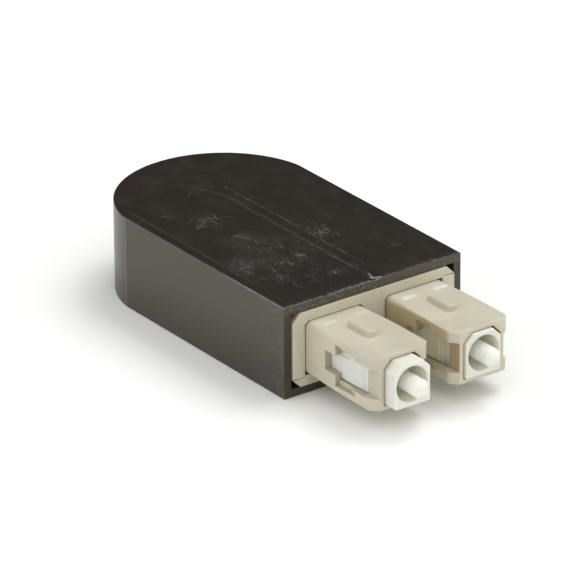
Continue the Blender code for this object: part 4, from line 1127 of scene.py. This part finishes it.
    # flange with four keying slots, and its tail
    base = turned([(r, p0 + y) for r, y in (
        (1.30, 6.15), (1.95, 6.15), (2.10, 6.30), (2.10, 8.25), (2.0, 8.35), (1.35, 8.35), (1.35, 12.25), (1.20, 12.4),
        (0.975, 12.4), (0.975, 8.2), (1.30, 8.2))], 72, cx, cz)
    ops = []
    for k in range(4):
        a = math.pi / 4 + k * math.pi / 2
        pts = []
        for u, v in ((1.78, -0.28), (2.6, -0.28), (2.6, 0.28), (1.78, 0.28)):
            pts.append((u * math.cos(a) - v * math.sin(a), u * math.sin(a) + v * math.cos(a)))
        ops.append(("DIFFERENCE", prism_y(pts, p0 + 6.0, p0 + 7.3, cx, cz)))
    bm = carve(base, ops)
    piece("flange_" + side, bm, FLANGE_M, ferrule_body, ("ferrule_flange_" + side,), angle=30)

    bm = turned([(r, p0 + y) for r, y in ((0.575, 8.40), (0.625, 8.35), (0.83, 8.35), (0.875, 8.40), (0.875, 13.35),
                                         (0.83, 13.4), (0.625, 13.4), (0.575, 13.35))], 48, cx, cz)
    piece("guide_tube_clear_" + side, bm, TUBE_M, ferrule_body, ("guide_tube_" + side,), angle=50, weighted=False)


for _s in ("left", "right"):
    make_plug(_s)


# ------------------------------------------------------------------ fibre
def make_fibre():
    lo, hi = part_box("fibre_loop")
    start = (lo.y - FRONT_Y) * 1000.0
    half = AXIS_X["right"]
    r_loop = (hi.x - lo.x) * 500.0 - 0.45
    cy = (hi.y - FRONT_Y) * 1000.0 - 0.45 - r_loop
    y_bend = 17.4
    route = [(-half, start + (y_bend - start) * k / 8) for k in range(9)]
    side = []
    for k in range(1, 24):
        t = k / 24
        s = t * t * (3 - 2 * t)
        side.append((-half + (-r_loop + half) * s, y_bend + (cy - y_bend) * t))
    route += side
    for k in range(65):
        a = math.pi * k / 64
        route.append((-r_loop * math.cos(a), cy + r_loop * math.sin(a)))
    route += [(-x, y) for x, y in reversed(side)]
    route += [(half, start + (y_bend - start) * k / 8) for k in range(8, -1, -1)]
    rows = []
    for i, (x, y) in enumerate(route):
        ax, ay = route[max(i - 1, 0)]
        bx, by = route[min(i + 1, len(route) - 1)]
        tan = Vector((bx - ax, by - ay, 0)).normalized()
        nrm = Vector((tan.y, -tan.x, 0))
        c = Vector((x, y, AXIS_Z))
        rows.append([tuple(c + nrm * (0.45 * math.cos(b)) + Vector((0, 0, 0.45 * math.sin(b))))
                     for b in (2 * math.pi * k / 20 for k in range(20))])
    piece("fibre_buffer", loft(rows), FIBRE_M, "housing", ("fibre_loop",), angle=50, weighted=False)


make_fibre()


# ------------------------------------------------------------------ stage and light
def studio():
    bm = bmesh.new()
    bmesh.ops.create_grid(bm, x_segments=1, y_segments=1, size=0.9)
    me = bpy.data.meshes.new("floor")
    bm.to_mesh(me)
    bm.free()
    floor = bpy.data.objects.new("floor", me)
    COLL.objects.link(floor)
    floor.location = (0, 0, -0.00002)
    fm = bpy.data.materials.new("floor_paper")
    fm.use_nodes = True
    p = fm.node_tree.nodes["Principled BSDF"]
    p.inputs["Base Color"].default_value = (0.89, 0.89, 0.87, 1.0)
    p.inputs["Roughness"].default_value = 0.9
    p.inputs["Specular IOR Level"].default_value = 0.15
    me.materials.append(fm)

    def area(name, loc, target, size, energy, colour=(1, 1, 1)):
        ld = bpy.data.lights.new(name, "AREA")
        ld.shape = "SQUARE"
        ld.size = size
        ld.energy = energy
        ld.color = colour
        lo = bpy.data.objects.new(name, ld)
        COLL.objects.link(lo)
        lo.location = loc
        d = Vector(target) - Vector(loc)
        lo.rotation_euler = d.to_track_quat("-Z", "Y").to_euler()
        return lo

    area("key", (0.30, 0.07, 0.55), (0.0, 0.0, 0.0), 0.35, 1.9)

    # soft dome: bright overhead and round the camera's side, dark low down at the back right
    world = bpy.data.worlds.new("studio")
    scene.world = world
    world.use_nodes = True
    t = world.node_tree
    bg = t.nodes["Background"]
    tc = t.nodes.new("ShaderNodeTexCoord")
    dot = t.nodes.new("ShaderNodeVectorMath")
    dot.operation = "DOT_PRODUCT"
    t.links.new(tc.outputs["Generated"], dot.inputs[0])
    dot.inputs[1].default_value = (0.54, 0.73, 0.42)
    ramp = t.nodes.new("ShaderNodeMapRange")
    ramp.interpolation_type = "SMOOTHSTEP"
    ramp.inputs["From Min"].default_value = 0.45
    ramp.inputs["From Max"].default_value = 0.88
    ramp.inputs["To Min"].default_value = 1.15
    ramp.inputs["To Max"].default_value = 0.05
    t.links.new(dot.outputs["Value"], ramp.inputs["Value"])
    bg.inputs["Color"].default_value = (0.995, 1.0, 0.995, 1.0)
    t.links.new(ramp.outputs[0], bg.inputs["Strength"])


studio()


# ------------------------------------------------------------------ camera
def camera():
    az, el, roll = math.radians(-36.239), math.radians(25.055), math.radians(-0.38)
    focal_px, dist, sx, sy = 5984.909, 766.246, -10.888, 10.615
    back = Vector((math.sin(az) * math.cos(el), -math.cos(az) * math.cos(el), math.sin(el)))
    right = Vector((math.cos(az), math.sin(az), 0.0))
    up = back.cross(right)
    r = right * math.cos(roll) + up * math.sin(roll)
    u = up * math.cos(roll) - right * math.sin(roll)
    loc = back * dist + r * sx + u * sy
    cd = bpy.data.cameras.new("camera")
    cd.sensor_width = 36.0
    cd.lens = focal_px * 36.0 / 576.0
    cd.clip_start, cd.clip_end = 0.05, 20.0
    cam = bpy.data.objects.new("camera", cd)
    COLL.objects.link(cam)
    m = Matrix((r, u, back)).transposed().to_4x4()
    m.translation = TO_ROW @ loc
    cam.matrix_world = m
    scene.camera = cam


camera()
scene.view_settings.view_transform = "Standard"
scene.view_settings.look = "None"
